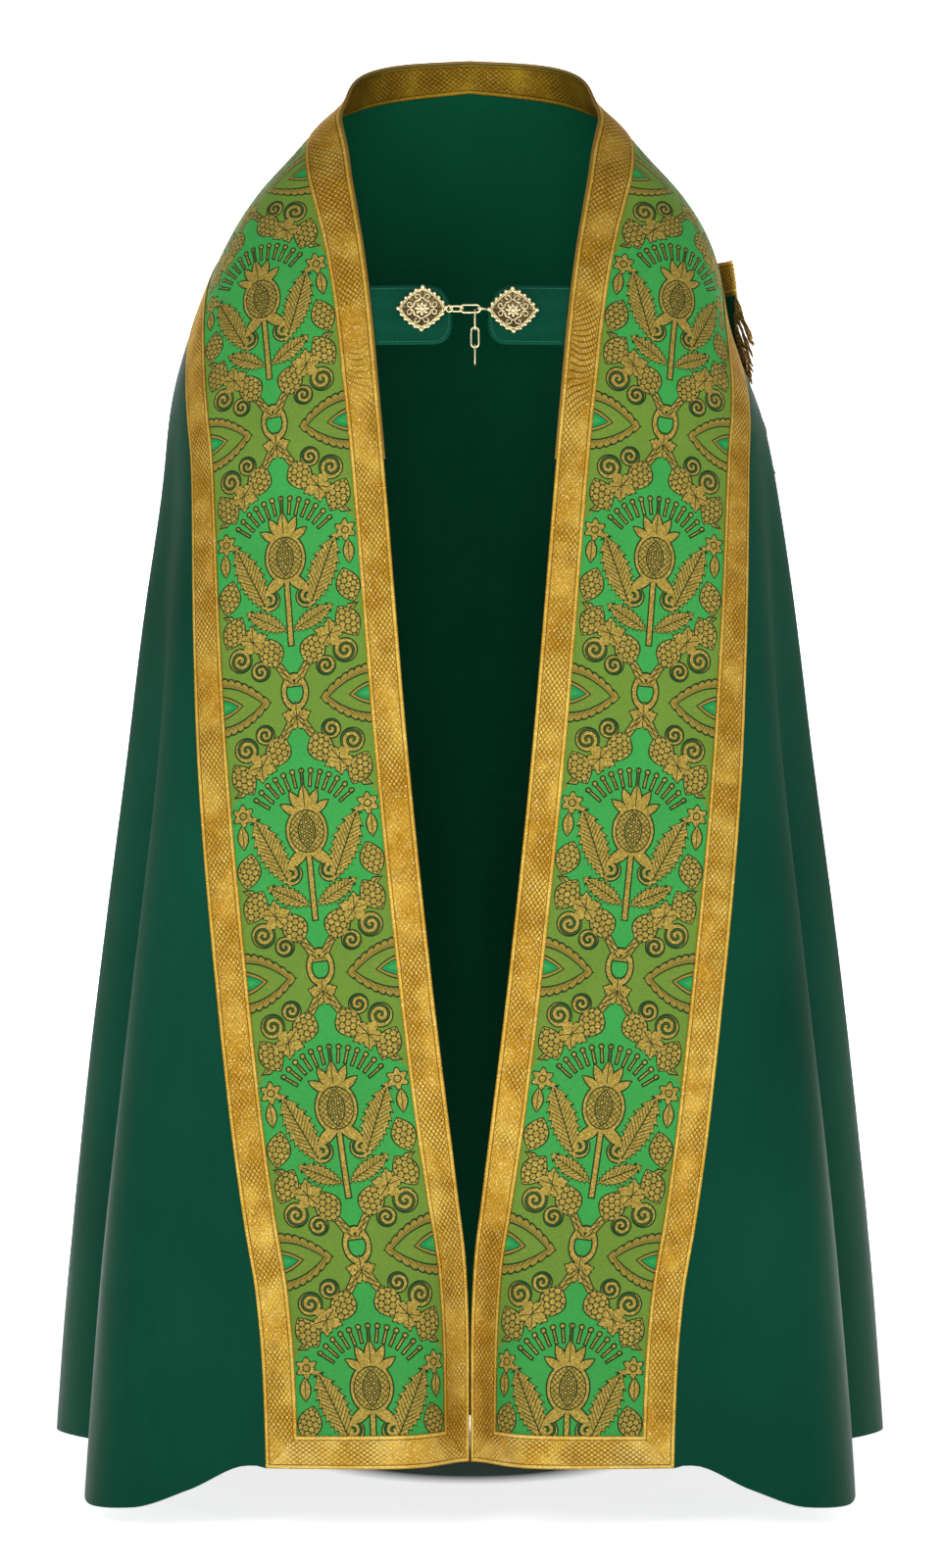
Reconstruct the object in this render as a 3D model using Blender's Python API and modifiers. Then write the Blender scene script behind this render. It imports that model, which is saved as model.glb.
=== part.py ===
"""Cope vestment: a half-circle cloak with orphrey bands, galloon, a back shield and a chained clasp.

Units are metres, +Z is up, -Y is the garment's front and +X is on the right of a viewer who faces the front.
The origin is on the axis of the neck opening, level with the top of the back neck.

The cloth is one smooth form.  A point on it is given by its turn, the angle in plan, and its height.  Turn runs
from -90 degrees at the centre front, through 0 at the +X side and 90 at the centre back, to 270 at the centre
front again.  Each height has a rounded plan section, and the folds are ridges and troughs along fixed turns.
"""

import math

import bmesh
import bpy
import numpy as np
from mathutils import Matrix, Vector

# ---- driving dimensions -------------------------------------------------------------------------------------
CLOTH = 0.0016              # wall of the satin body
ORPHREY_CLOTH = 0.0016      # wall of the brocade band
ORPHREY_WIDTH = 0.211
GALLOON_WIDTH = 0.032
GALLOON_CLOTH = 0.0010
SEAM = 0.0003               # clearance between pieces that are sewn or laid together
CENTRE_GAP = 0.0009         # half gap between the two front edges where they meet

PLAN_POWER = 2.3            # roundness of the plan sections, 2 is an ellipse
FOLD_EASE = 0.8             # how soon a fold opens below its start, 1 is a plain ease
HOOD_CLOTH = 0.0022
HOOD_MIDDLE = 82.0          # turn of the shield's middle; it hangs a little to the +X side
HOOD_SPREAD = 72.0          # its upper corners are this much turn from its middle
HOOD_BELOW = 0.0008         # its top edge hangs this far below the band's lower edge
HOOD_CORNER = 0.022         # its corners rise this far over the band
HOOD_CORNER_POWER = 6       # how close to the corners that rise stays
HOOD_ROUND = (2.2, 0.62)    # powers of the curve of its foot
HOOD_DEPTH = 0.440          # from its top edge to its lowest point
HOOD_SIDE = 0.150           # length of its straight sides
HOOD_NARROWS = 0.14         # share by which it narrows towards its foot
HOOD_LIFT = (0.0024, 0.0200)    # how far it stands off the form at the middle and at the corners
HOOD_LIFT_POWER = 6         # how close to the corners that stand-off stays
HOOD_OFF = 0.0040           # how much further off it hangs lower down
FRINGE_DOWN = 0.050         # the bullion's hanging length
FRINGE_OUT = 0.020          # how far it spreads past the shield's sides
FRINGE_THICK = 0.0040
FRINGE_LEAN = (0.006, 0.016)    # how much further out the bullion's ends stand, at its foot and its corners
FRINGE_CLEAR = 0.0010       # clearance between the shield's edge and the fringe's head
FRINGE_HEADING = 0.005      # its woven heading lies flat with the shield over this width

TAB_TOP, TAB_FOOT = -0.2610, -0.3210
TAB_UNDER = 0.028           # length sewn under the front edge
TAB_REACH = 0.0790          # length that shows past the front edge
TAB_THICK = 0.0030
TAB_LEAN = 0.10             # how far the free part runs forwards for each metre towards the middle
TAB_BEHIND = 0.0005         # clearance behind the band
TAB_ROUND = 0.024           # length of the rounded end
TAB_POWER = 2.6             # squareness of the rounded end, 2 is an ellipse
TAB_ROUND_ANGLES = (25, 45, 62, 76, 86)     # degrees round the end where it has points

PLATE_HALF = (0.0244, 0.0228)   # half width and half height of a clasp plate
PLATE_THICK = 0.0040
PLATE_X = (-0.0465, 0.0418)     # centres of the left and right plate
PLATE_Z = (-0.2856, -0.2872)
PLATE_TEETH = 20
PLATE_TOOTH = 0.035         # how far a tooth stands out, as a share
PLATE_POWER = 1.35          # squareness of the outline, 1 is a lozenge with straight sides
WIRE = 0.0020               # chain wire diameter
LINK_LONG = 0.0215          # chain link, outside length
LINK_FIRST = 0.0146         # the link at the left plate is shorter
LINK_WIDE = 0.0094          # chain link, outside width
LINK_PLAY = 0.0005          # clearance between two linked wires
RING_RADIUS = 0.0030        # ring on the left plate
RING_WIRE = 0.0016
CHAIN_Z = -0.2862
CHAIN_MIDDLE = 0.0004       # X of the middle of the link that hangs between the plates
TAIL_X = 0.0048             # X where the three hanging links hang
HOOK_WIDE = 0.0052          # between the middle lines of the hook's two runs
HOOK_ROOT = 0.0225          # X where the hook starts, in the right plate
HOOK_TIP = 0.0035           # its open end runs this far back
PLATE_LIFT = 0.0008         # clearance between a plate and its tab, which is not quite flat
LINK_BEND_STEPS = 7
FIRST_LINK_TILT = 36.0      # degrees the first link is turned up from lying flat

# Plan section at each height: half width, where its widest point lies, and how deep it is before and behind.
SECTIONS = {
    "height":      (0.030, 0.000, -0.030, -0.056, -0.085, -0.116, -0.156, -0.195, -0.250, -0.314, -0.407,
                    -0.560, -0.730, -0.889, -1.047, -1.206, -1.364, -1.480),
    "half_width":  (0.108, 0.112, 0.1175, 0.1255, 0.1530, 0.1800, 0.2150, 0.2400, 0.2640, 0.2820, 0.3020,
                    0.3250, 0.3430, 0.3600, 0.3760, 0.3900, 0.4015, 0.4085),
    "centre_y":    (0.030, 0.030, 0.028, 0.025, 0.020, 0.018, 0.015, 0.015, 0.015, 0.016, 0.017,
                    0.020, 0.024, 0.027, 0.030, 0.033, 0.036, 0.038),
    "front_depth": (0.056, 0.060, 0.065, 0.070, 0.078, 0.088, 0.102, 0.116, 0.135, 0.152, 0.170,
                    0.190, 0.208, 0.224, 0.240, 0.258, 0.276, 0.288),
    "back_depth":  (0.076, 0.080, 0.090, 0.099, 0.110, 0.119, 0.132, 0.142, 0.152, 0.160, 0.170,
                    0.182, 0.196, 0.210, 0.224, 0.238, 0.252, 0.262),
}

# The straight edge of the cut round the neck, from the centre back: the turn at each height.
NECK_EDGE = {
    "turn":   (90.0, 60.0, 36.0, 15.0, -12.0, -39.0),
    "height": (0.000, -0.003, -0.0135, -0.0285, -0.056, -0.085),
}
# The same edge down the front: half the opening at each height.
FRONT_EDGE = {
    "height":   (-0.085, -0.116, -0.166, -0.250, -0.407, -0.560, -0.693, -0.844, -0.995, -1.145, -1.258, -1.500),
    "half_gap": (0.1225, 0.1200, 0.1130, 0.1010, 0.0860, 0.0730, 0.0620, 0.0470, 0.0300, 0.0125, CENTRE_GAP,
                 CENTRE_GAP),
}

# Folds on both sides: the turn each one follows, its spread, how far it stands out at the hem (troughs are
# negative) and the height where it starts.
FOLDS = {
    "turn":   (-90.0, -40.0, -16.0, 7.0, 27.0, 41.0, 57.0, 72.0, 90.0),
    "spread": (3.7, 9.0, 8.0, 10.0, 7.0, 7.5, 8.0, 7.5, 7.0),
    "stands": (-0.050, 0.046, -0.085, 0.022, -0.034, 0.030, -0.034, 0.032, -0.030),
    "starts": (-0.95, -0.42, -0.30, -0.30, -0.50, -0.42, -0.46, -0.55, -0.48),
}
# Where the cloth hangs closer in or further out on one side only: the place, its reach each way and how far.
UNEVEN = {
    "turn":   (5.0, 176.0),
    "spread": (24.0, 24.0),
    "height": (-0.292, -0.350),
    "reach":  (0.044, 0.055),
    "out":    (-0.018, 0.008),
}
HEM_LEVEL = -1.45

# The hem: its height at each turn on either side.
HEM = {
    "turn":   (-90.0, -60.0, -52.0, -45.0, -38.0, -31.0, -20.0, 5.0, 45.0, 90.0),
    "height": (-1.4005, -1.4005, -1.425, -1.443, -1.446, -1.437, -1.424, -1.412, -1.424, -1.432),
}

EDGE_STEP = 0.004           # step used to walk over the cloth
EDGE_SIGHT = 0.090          # the edge's direction is taken over this far each way
EDGE_SMOOTHING = 90         # passes that ease the corners of the edge's track
NECK_SAMPLES = 27           # cross-lines from the centre back to the side of the shoulder
FRONT_SAMPLES = 15          # cross-lines from there to the hem
SHOULDER_AT = 0.50          # distance along the edge where the body's top turns into its front edge
HOOD_COLUMNS = 25
HOOD_ROWS = (0.0, 0.075, 0.25, 0.45, 0.65, 0.84, 1.0)
# Distances from the straight edge where the band has points; then the outer galloon's edge, the band's edge and
# the body's seam line beside it.
GRID_AT = (0.0, 0.016, GALLOON_WIDTH, 0.064, 0.120, ORPHREY_WIDTH - GALLOON_WIDTH, ORPHREY_WIDTH - 0.0012,
           ORPHREY_WIDTH, ORPHREY_WIDTH + 0.0005)
BAND = [0, 1, 2, 3, 4, 5, 7]
INNER_GALLOON, OUTER_GALLOON, FOOT_GALLOON, SEAM_LINE = [0, 1, 2], [5, 6], [2, 3, 4, 5], 8
GRID_SMOOTHING = 14         # passes that even out the cross-lines round the neck
EVEN_TO = 0.60              # distance along the edge where that ends
FOOT_TRIM = 0.02            # the foot galloon is this share of a column short of the galloons it meets
NECK_FACING_ROWS = 11       # cross-lines each side of the centre back that the inside galloon covers
FACING_TRIM = 0.06          # its upper edge is this share of a column below the edge
GREEN_SATIN = (0.010, 0.080, 0.055, 1.0)
BROCADE = (0.110, 0.420, 0.150, 1.0)
GOLD_BRAID = (0.600, 0.330, 0.050, 1.0)
FRINGE_GOLD = (0.420, 0.260, 0.120, 1.0)
PALE_GOLD = (0.750, 0.600, 0.330, 1.0)


# ---- curves through tables ----------------------------------------------------------------------------------
def through(xs, ys, x):
    """A smooth curve through a table, without overshoot (monotone cubic)."""
    xs, ys = np.asarray(xs, float), np.asarray(ys, float)
    if xs[0] > xs[-1]:
        xs, ys = xs[::-1], ys[::-1]
    x = min(max(x, xs[0]), xs[-1])
    run = np.diff(xs)
    slope = np.diff(ys) / run
    tangent = np.zeros(len(xs))
    tangent[0], tangent[-1] = slope[0], slope[-1]
    for i in range(1, len(xs) - 1):
        if slope[i - 1] * slope[i] > 0:
            tangent[i] = 2 * slope[i - 1] * slope[i] / (slope[i - 1] + slope[i])
    i = min(int(np.searchsorted(xs, x, side="right")) - 1, len(run) - 1)
    t = (x - xs[i]) / run[i]
    return float(ys[i] * (1 + 2 * t) * (1 - t) ** 2 + tangent[i] * run[i] * t * (1 - t) ** 2
                 + ys[i + 1] * t * t * (3 - 2 * t) + tangent[i + 1] * run[i] * t * t * (t - 1))


def section(column, height):
    return through(SECTIONS["height"], SECTIONS[column], height)


def ease(t):
    t = min(max(t, 0.0), 1.0)
    return t * t * (3 - 2 * t)


def half_turn(turn):
    """The turn mirrored into -90 .. 90."""
    return turn if turn <= 90 else 180 - turn


# ---- the form of the cloth ----------------------------------------------------------------------------------
def fold_height(turn, height):
    """How far the folds and the uneven hang move the cloth out at a turn and height."""
    near, out = half_turn(turn), 0.0
    for at, spread, stands, starts in zip(*FOLDS.values()):
        down = ease((starts - height) / (starts - HEM_LEVEL)) ** FOLD_EASE
        out += stands * down * math.exp(-0.5 * ((near - at) / spread) ** 2)
    for at, spread, level, reach, moves in zip(*UNEVEN.values()):
        out += moves * math.exp(-0.5 * (((turn - at) / spread) ** 2 + ((height - level) / reach) ** 2))
    return out


def cloth(turn, height):
    """The point of the cloth's inner face at a turn and height."""
    wide, centre = section("half_width", height), section("centre_y", height)
    c, s = math.cos(math.radians(turn)), math.sin(math.radians(turn))
    deep = section("front_depth" if s < 0 else "back_depth", height)
    reach = (abs(c) ** PLAN_POWER + abs(s) ** PLAN_POWER) ** (-1 / PLAN_POWER)
    x, y = wide * reach * c, deep * reach * s
    out_x = math.copysign(abs(x / wide) ** (PLAN_POWER - 1), x) / wide
    out_y = math.copysign(abs(y / deep) ** (PLAN_POWER - 1), y) / deep
    rise = fold_height(turn, height) / math.hypot(out_x, out_y)
    return np.array((x + out_x * rise, centre + y + out_y * rise, height))


def slopes(turn, height):
    """How the point moves for a degree of turn and for a metre of height."""
    dt, dh = 0.2, 0.0008
    by_turn = (cloth(turn + dt, height) - cloth(turn - dt, height)) / (2 * dt)
    by_height = (cloth(turn, height + dh) - cloth(turn, height - dh)) / (2 * dh)
    return by_turn, by_height


def outward(turn, height):
    by_turn, by_height = slopes(turn, height)
    normal = np.cross(by_turn, by_height)
    return normal / np.linalg.norm(normal)


def front_edge_turn(height):
    """The turn at which the front edge lies, on the +X side."""
    ratio = section("half_width", height) / through(FRONT_EDGE["height"], FRONT_EDGE["half_gap"], height)
    return -math.degrees(math.atan((ratio ** PLAN_POWER - 1) ** (1 / PLAN_POWER)))


def straight_edge():
    """The straight edge of the cut, from the centre back to the foot of the +X front, at even small steps."""
    knots = list(zip(NECK_EDGE["turn"], NECK_EDGE["height"]))
    knots += [(front_edge_turn(h), h) for h in FRONT_EDGE["height"][1:-1]]
    knots.append((front_edge_turn(HEM["height"][0]), HEM["height"][0]))
    turns, heights = np.array(knots).T
    places = np.array([cloth(t, h) for t, h in knots])
    along = np.concatenate(([0.0], np.cumsum(np.linalg.norm(np.diff(places, axis=0), axis=1))))
    fine = np.linspace(0.0, along[-1], 400)
    track = np.array([(through(along, turns, a), through(along, heights, a)) for a in fine])
    for _ in range(EDGE_SMOOTHING):
        track[1:-1] = (track[:-2] + 2 * track[1:-1] + track[2:]) / 4
    places = np.array([cloth(t, h) for t, h in track])
    length = np.concatenate(([0.0], np.cumsum(np.linalg.norm(np.diff(places, axis=0), axis=1))))
    return length, track


EDGE_LENGTH, EDGE_TRACK = straight_edge()
HALF_EDGE = float(EDGE_LENGTH[-1])


def edge_at(along):
    """Turn and height of the straight edge at a distance from the centre back."""
    return (float(np.interp(along, EDGE_LENGTH, EDGE_TRACK[:, 0])),
            float(np.interp(along, EDGE_LENGTH, EDGE_TRACK[:, 1])))


def step(place, ahead):
    """Move one small vector over the cloth, and give the new turn and height."""
    by_turn, by_height = slopes(*place)
    moves = np.array((by_turn, by_height)).T
    change = np.linalg.lstsq(moves, ahead, rcond=None)[0]
    return place[0] + change[0], place[1] + change[1]


def cross_line(along, distances):
    """Turn and height at each distance from the straight edge, going square off it and straight on."""
    place = edge_at(along)
    before = cloth(*edge_at(abs(along - EDGE_SIGHT)))
    after = cloth(*edge_at(min(along + EDGE_SIGHT, HALF_EDGE)))
    if along < EDGE_SIGHT:
        before = before * np.array((-1.0, 1.0, 1.0))
    ahead = np.cross(outward(*place), after - before)
    ahead /= np.linalg.norm(ahead)
    places, walked = [], 0.0
    for distance in distances:
        while walked < distance - 1e-9:
            stride = min(EDGE_STEP, distance - walked)
            here = cloth(*place)
            place = step(place, ahead * stride)
            there = cloth(*place)
            walked += stride
            normal = outward(*place)
            ahead = there - here
            ahead -= normal * ahead.dot(normal)
            ahead /= np.linalg.norm(ahead)
        places.append(place)
    return places


def mirrored(place):
    return 180.0 - place[0], place[1]


def moved_out(place, distance):
    return cloth(*place) + outward(*place) * distance


# ---- building solids ----------------------------------------------------------------------------------------
def material(name, colour, roughness, metallic):
    made = bpy.data.materials.new(name)
    made.use_nodes = True
    shader = made.node_tree.nodes["Principled BSDF"]
    shader.inputs["Base Color"].default_value = colour
    shader.inputs["Roughness"].default_value = roughness
    shader.inputs["Metallic"].default_value = metallic
    return made


def add_object(name, mesh, finish):
    part = bpy.data.objects.new(name, mesh)
    mesh.materials.append(finish)
    PARTS.objects.link(part)
    return part


def wall(name, rows, thick, finish, facing, backward=0):
    """A cloth wall: rows of points joined by triangles, then thickened towards the facing side.

    Facing is a rough direction out of the first triangle.  The first backward rows are split along their
    other diagonal.
    """
    form = bmesh.new()
    lines = [[form.verts.new(point) for point in row] for row in rows]
    for number, (upper, lower) in enumerate(zip(lines, lines[1:])):
        if number < backward:
            for i in range(len(upper) - 1):
                form.faces.new((upper[i], lower[i], upper[i + 1]))
                form.faces.new((upper[i + 1], lower[i], lower[i + 1]))
        else:
            for i in range(len(upper) - 1):
                form.faces.new((upper[i], lower[i], lower[i + 1]))
                form.faces.new((upper[i], lower[i + 1], upper[i + 1]))
    form.normal_update()
    form.faces.ensure_lookup_table()
    if form.faces[0].normal.dot(Vector(facing)) < 0:
        bmesh.ops.reverse_faces(form, faces=form.faces)
    mesh = bpy.data.meshes.new(name)
    form.to_mesh(mesh)
    form.free()
    part = add_object(name, mesh, finish)
    solid = part.modifiers.new("wall", "SOLIDIFY")
    solid.thickness = thick
    solid.offset = 1.0
    return part


def sheet(name, rows, thick, finish, lift=0.0):
    """A wall made from places on the form, moved out by lift."""
    points = [[moved_out(place, lift) for place in row] for row in rows]
    return wall(name, points, thick, finish, outward(*rows[0][0]))


# ---- the pieces ---------------------------------------------------------------------------------------------
def band_places():
    """Distances along the straight edge where the cross-lines are, from the centre back to the foot."""
    neck = np.linspace(0.0, SHOULDER_AT, NECK_SAMPLES + 1)
    front = np.linspace(SHOULDER_AT, HALF_EDGE - GALLOON_WIDTH, FRONT_SAMPLES)
    return [SEAM / 2, *neck[1:], *front[1:], HALF_EDGE]


def band_grid():
    """Places on the +X half: a row for each cross-line, a column for each distance in GRID_AT."""
    stations = band_places()
    grid = np.array([cross_line(s, GRID_AT) for s in stations])
    share = np.array([[ease(distance / GALLOON_WIDTH) * ease((EVEN_TO - s) / 0.2) for distance in GRID_AT]
                      for s in stations[1:-1]])[:, :, None]
    for _ in range(GRID_SMOOTHING):
        even = (grid[:-2] + 2 * grid[1:-1] + grid[2:]) / 4
        grid[1:-1] += share * (even - grid[1:-1])
    return grid


def columns(grid, wanted, side="right"):
    """The wanted columns of the grid, as rows of places on one side."""
    rows = [[tuple(place) for place in line[wanted]] for line in grid]
    return rows if side == "right" else [[mirrored(place) for place in row] for row in rows]


def make_band(grid, side, band_cloth, braid):
    """One half of the orphrey with its three galloons, which lie on it."""
    lift = ORPHREY_CLOTH + SEAM
    sheet(f"orphrey_{side}", columns(grid, BAND, side), ORPHREY_CLOTH, band_cloth)
    sheet(f"galloon_inner_{side}", columns(grid, INNER_GALLOON, side), GALLOON_CLOTH, braid, lift)
    sheet(f"galloon_outer_{side}", columns(grid, OUTER_GALLOON, side), GALLOON_CLOTH, braid, lift)
    foot = columns(grid[-2:], FOOT_GALLOON, side)
    rows = []
    for line in foot:
        first, second, third, last = (moved_out(place, lift) for place in line)
        rows.append([first + (second - first) * FOOT_TRIM, second, third, last + (third - last) * FOOT_TRIM])
    wall(f"galloon_foot_{side}", rows, GALLOON_CLOTH, braid, outward(*foot[0][0]))


def make_neck_facing(grid, braid):
    """The galloon inside the back neck, on the band's inner face."""
    half = []
    for line in columns(grid[:NECK_FACING_ROWS], INNER_GALLOON):
        top, middle, low = (moved_out(place, -SEAM) for place in line)
        half.append([top + (middle - top) * FACING_TRIM, middle, low])
    flip = np.array((-1.0, 1.0, 1.0))
    rows = half[:0:-1] + [[point * flip for point in row] for row in half]
    inward = -outward(*grid[NECK_FACING_ROWS - 1][0])
    wall("galloon_neck_inside", rows, GALLOON_CLOTH, braid, inward, backward=len(half) - 1)


def hem_height(turn):
    near = half_turn(turn)
    return through(HEM["turn"], HEM["height"], near)


def body_rows(grid):
    """Places of the cloak: rows from the orphrey's outer seam down to the hem, a blend of its four sides."""
    seam = [tuple(line[SEAM_LINE]) for line in grid]
    top_half, front = seam[:NECK_SAMPLES + 1], seam[NECK_SAMPLES:]
    top_half[0] = (90.0, top_half[0][1])
    top = np.array(top_half[::-1] + [mirrored(place) for place in top_half[1:]])
    front = np.array(front)
    depth = np.cumsum([0.0] + [np.linalg.norm(cloth(*a) - cloth(*b)) for a, b in zip(front, front[1:])])
    fine = np.linspace(front[-1][0], 180.0 - front[-1][0], 1500)
    hem_track = np.array([cloth(t, hem_height(t)) for t in fine])
    run = np.concatenate(([0.0], np.cumsum(np.linalg.norm(np.diff(hem_track, axis=0), axis=1))))
    hem_turns = np.interp(np.linspace(0.0, run[-1], len(top)), run, fine)
    hem = np.array([(t, hem_height(t)) for t in hem_turns])
    hem[0] = front[-1]
    hem[-1] = mirrored(front[-1])
    rows = []
    across = np.linspace(0.0, 1.0, len(top))
    for place, down in zip(front, depth / depth[-1]):
        other = np.array(mirrored(place))
        row = []
        for u, upper, lower in zip(across, top, hem):
            sides = (1 - u) * place + u * other
            ends = (1 - down) * upper + down * lower
            corners = ((1 - u) * (1 - down) * top[0] + u * (1 - down) * top[-1]
                       + (1 - u) * down * hem[0] + u * down * hem[-1])
            row.append(tuple(sides + ends - corners))
        rows.append(row)
    return rows


def seam_height(grid, turn):
    """Height of the band's lower seam across the back at a turn."""
    near = half_turn(turn)
    line = grid[::-1, SEAM_LINE]
    return float(np.interp(near, line[:, 0], line[:, 1]))


def hood_place(grid, across, down):
    """Place and lift of the shield: across from -1 to 1 between its corners, down from 0 at its top edge."""
    top = seam_height(grid, HOOD_MIDDLE - across * HOOD_SPREAD) - HOOD_BELOW
    top += HOOD_CORNER * abs(across) ** HOOD_CORNER_POWER
    round_part = (HOOD_DEPTH - HOOD_SIDE) * (1 - abs(across) ** HOOD_ROUND[0]) ** HOOD_ROUND[1]
    drop = GALLOON_WIDTH * down / HOOD_ROWS[1]
    if down > HOOD_ROWS[1]:
        share = (down - HOOD_ROWS[1]) / (1 - HOOD_ROWS[1])
        drop = GALLOON_WIDTH + share * (HOOD_SIDE + round_part - GALLOON_WIDTH)
    aside = across * (1 - HOOD_NARROWS * down)
    cornered = abs(aside) ** HOOD_LIFT_POWER
    lift = HOOD_LIFT[0] + (HOOD_LIFT[1] - HOOD_LIFT[0]) * cornered + HOOD_OFF * ease(drop / HOOD_DEPTH)
    return (HOOD_MIDDLE - aside * HOOD_SPREAD, top - drop), lift


def hood_point(grid, across, down, out=0.0):
    place, lift = hood_place(grid, across, down)
    return moved_out(place, lift + out)


def make_hood(grid, satin, braid, bullion):
    """The shield on the back, the braid along its top and the fringe along its sides and foot."""
    steps = np.linspace(1.0, -1.0, HOOD_COLUMNS)
    rows = [[hood_point(grid, u, v) for u in steps] for v in HOOD_ROWS]
    back = (1.0, 0.3, 0.3)
    wall("hood", rows, HOOD_CLOTH, satin, back)
    braid_rows = [[hood_point(grid, u, v, HOOD_CLOTH + SEAM) for u in steps] for v in HOOD_ROWS[:2]]
    wall("hood_galloon", braid_rows, GALLOON_CLOTH, braid, back)
    outline = ([(1.0, v) for v in HOOD_ROWS[1:-1]] + [(u, 1.0) for u in steps]
               + [(-1.0, v) for v in HOOD_ROWS[-2:0:-1]])
    edge = [Vector(hood_point(grid, u, v, (HOOD_CLOTH - FRINGE_THICK) / 2)) for u, v in outline]
    head, bend, foot = [], [], []
    for i, (across, down) in enumerate(outline):
        along = edge[min(i + 1, len(edge) - 1)] - edge[max(i - 1, 0)]
        face = Vector(outward(*hood_place(grid, across, down)[0]))
        square = along.cross(face).normalized()
        if square.z > 0 and abs(across) < 0.9:
            square.negate()
        if square.x * across < 0 and abs(across) > 0.9:
            square.negate()
        head.append(edge[i] + square * FRINGE_CLEAR)
        bend.append(head[i] + square * FRINGE_HEADING)
        spread = Vector((square.x, square.y, 0.0)) * FRINGE_OUT
        lean = FRINGE_LEAN[0] + (FRINGE_LEAN[1] - FRINGE_LEAN[0]) * (abs(across) * (1 - down)) ** 2
        foot.append(head[i] + spread + Vector((0.0, 0.0, -FRINGE_DOWN)) + face * lean)
    wall("hood_fringe", [head, bend, foot], FRINGE_THICK, bullion, back)


def tab_point(height, along, side):
    """A point of a tab's front face: along is the distance past the front edge, negative where it is sewn."""
    turn = front_edge_turn(height)
    edge = moved_out((turn, height), -TAB_BEHIND)
    if along >= 0:
        point = edge + along * np.array((-1.0, -TAB_LEAN, 0.0)) / math.hypot(1.0, TAB_LEAN)
    else:
        back = cloth(turn + 1, height) - cloth(turn, height)
        point = moved_out(step((turn, height), back * -along / np.linalg.norm(back)), -TAB_BEHIND)
    return point * np.array((side, 1.0, 1.0))


def make_tab(name, side, satin):
    """A tab sewn inside a front edge, with a rounded free end."""
    middle, half = (TAB_TOP + TAB_FOOT) / 2, (TAB_TOP - TAB_FOOT) / 2
    straight = [-TAB_UNDER, -TAB_UNDER / 2, 0.0, 0.02, 0.04, TAB_REACH - TAB_ROUND]
    rounded = [TAB_REACH - TAB_ROUND * (1 - math.sin(math.radians(a))) for a in TAB_ROUND_ANGLES]
    rows = []
    for along in straight + rounded:
        past = max(along - (TAB_REACH - TAB_ROUND), 0.0) / TAB_ROUND
        tall = half * (1 - past ** TAB_POWER) ** (1 / TAB_POWER)
        rows.append([tab_point(middle + tall * v, along, side) for v in (1, 0.5, 0, -0.5, -1)])
    rows = [[point + np.array((0.0, TAB_THICK, 0.0)) for point in row] for row in rows]
    wall(name, rows, TAB_THICK, satin, (0, -1, 0))


def tab_frame(x, z):
    """Where a plate lies on a tab's front face: the point and the directions along, up and out of it."""
    side = math.copysign(1.0, x)
    edge_x = tab_point(z, 0.0, side)[0]
    along = (abs(edge_x) - abs(x)) * math.hypot(1.0, TAB_LEAN)
    here = Vector(tab_point(z, along, side))
    right = Vector(tab_point(z, along - 0.01 * side, side)) - Vector(tab_point(z, along + 0.01 * side, side))
    up = Vector(tab_point(z + 0.02, along, side)) - Vector(tab_point(z - 0.02, along, side))
    right.normalize()
    out = right.cross(up).normalized()
    if out.y > 0:
        out.negate()
    up = (out.cross(right) if out.cross(right).z > 0 else right.cross(out)).normalized()
    return here, right, up, out


def plate_mesh(name):
    """A flat lozenge with rounded sides and a beaded edge, its face along +Z."""
    form = bmesh.new()
    bmesh.ops.create_circle(form, cap_ends=True, radius=1.0, segments=PLATE_TEETH * 4)
    for vert in form.verts:
        angle = math.atan2(vert.co.y, vert.co.x)
        sides = abs(math.cos(angle)) ** PLATE_POWER + abs(math.sin(angle)) ** PLATE_POWER
        lozenge = sides ** (-1 / PLATE_POWER)
        tooth = 1 + PLATE_TOOTH * math.cos(PLATE_TEETH * angle)
        vert.co = (PLATE_HALF[0] * lozenge * tooth * math.cos(angle),
                   PLATE_HALF[1] * lozenge * tooth * math.sin(angle), 0.0)
    grown = bmesh.ops.extrude_face_region(form, geom=list(form.faces))
    raised = [item for item in grown["geom"] if isinstance(item, bmesh.types.BMVert)]
    bmesh.ops.translate(form, verts=raised, vec=(0.0, 0.0, PLATE_THICK))
    bmesh.ops.recalc_face_normals(form, faces=form.faces)
    mesh = bpy.data.meshes.new(name)
    form.to_mesh(mesh)
    form.free()
    return mesh


def wire_mesh(name, points, closed, diameter):
    """A round wire along the points, as a welded mesh."""
    curve = bpy.data.curves.new(name, "CURVE")
    curve.dimensions = "3D"
    curve.bevel_depth = diameter / 2
    curve.bevel_resolution = 2
    curve.use_fill_caps = not closed
    line = curve.splines.new("POLY")
    line.points.add(len(points) - 1)
    for knot, point in zip(line.points, points):
        knot.co = (*point, 1.0)
    line.use_cyclic_u = closed
    holder = bpy.data.objects.new(name, curve)
    PARTS.objects.link(holder)
    evaluated = holder.evaluated_get(bpy.context.evaluated_depsgraph_get())
    mesh = bpy.data.meshes.new_from_object(evaluated)
    bpy.data.objects.remove(holder, do_unlink=True)
    bpy.data.curves.remove(curve)
    form = bmesh.new()
    form.from_mesh(mesh)
    bmesh.ops.remove_doubles(form, verts=form.verts, dist=0.00001)
    bmesh.ops.recalc_face_normals(form, faces=form.faces)
    form.to_mesh(mesh)
    form.free()
    return mesh


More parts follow.
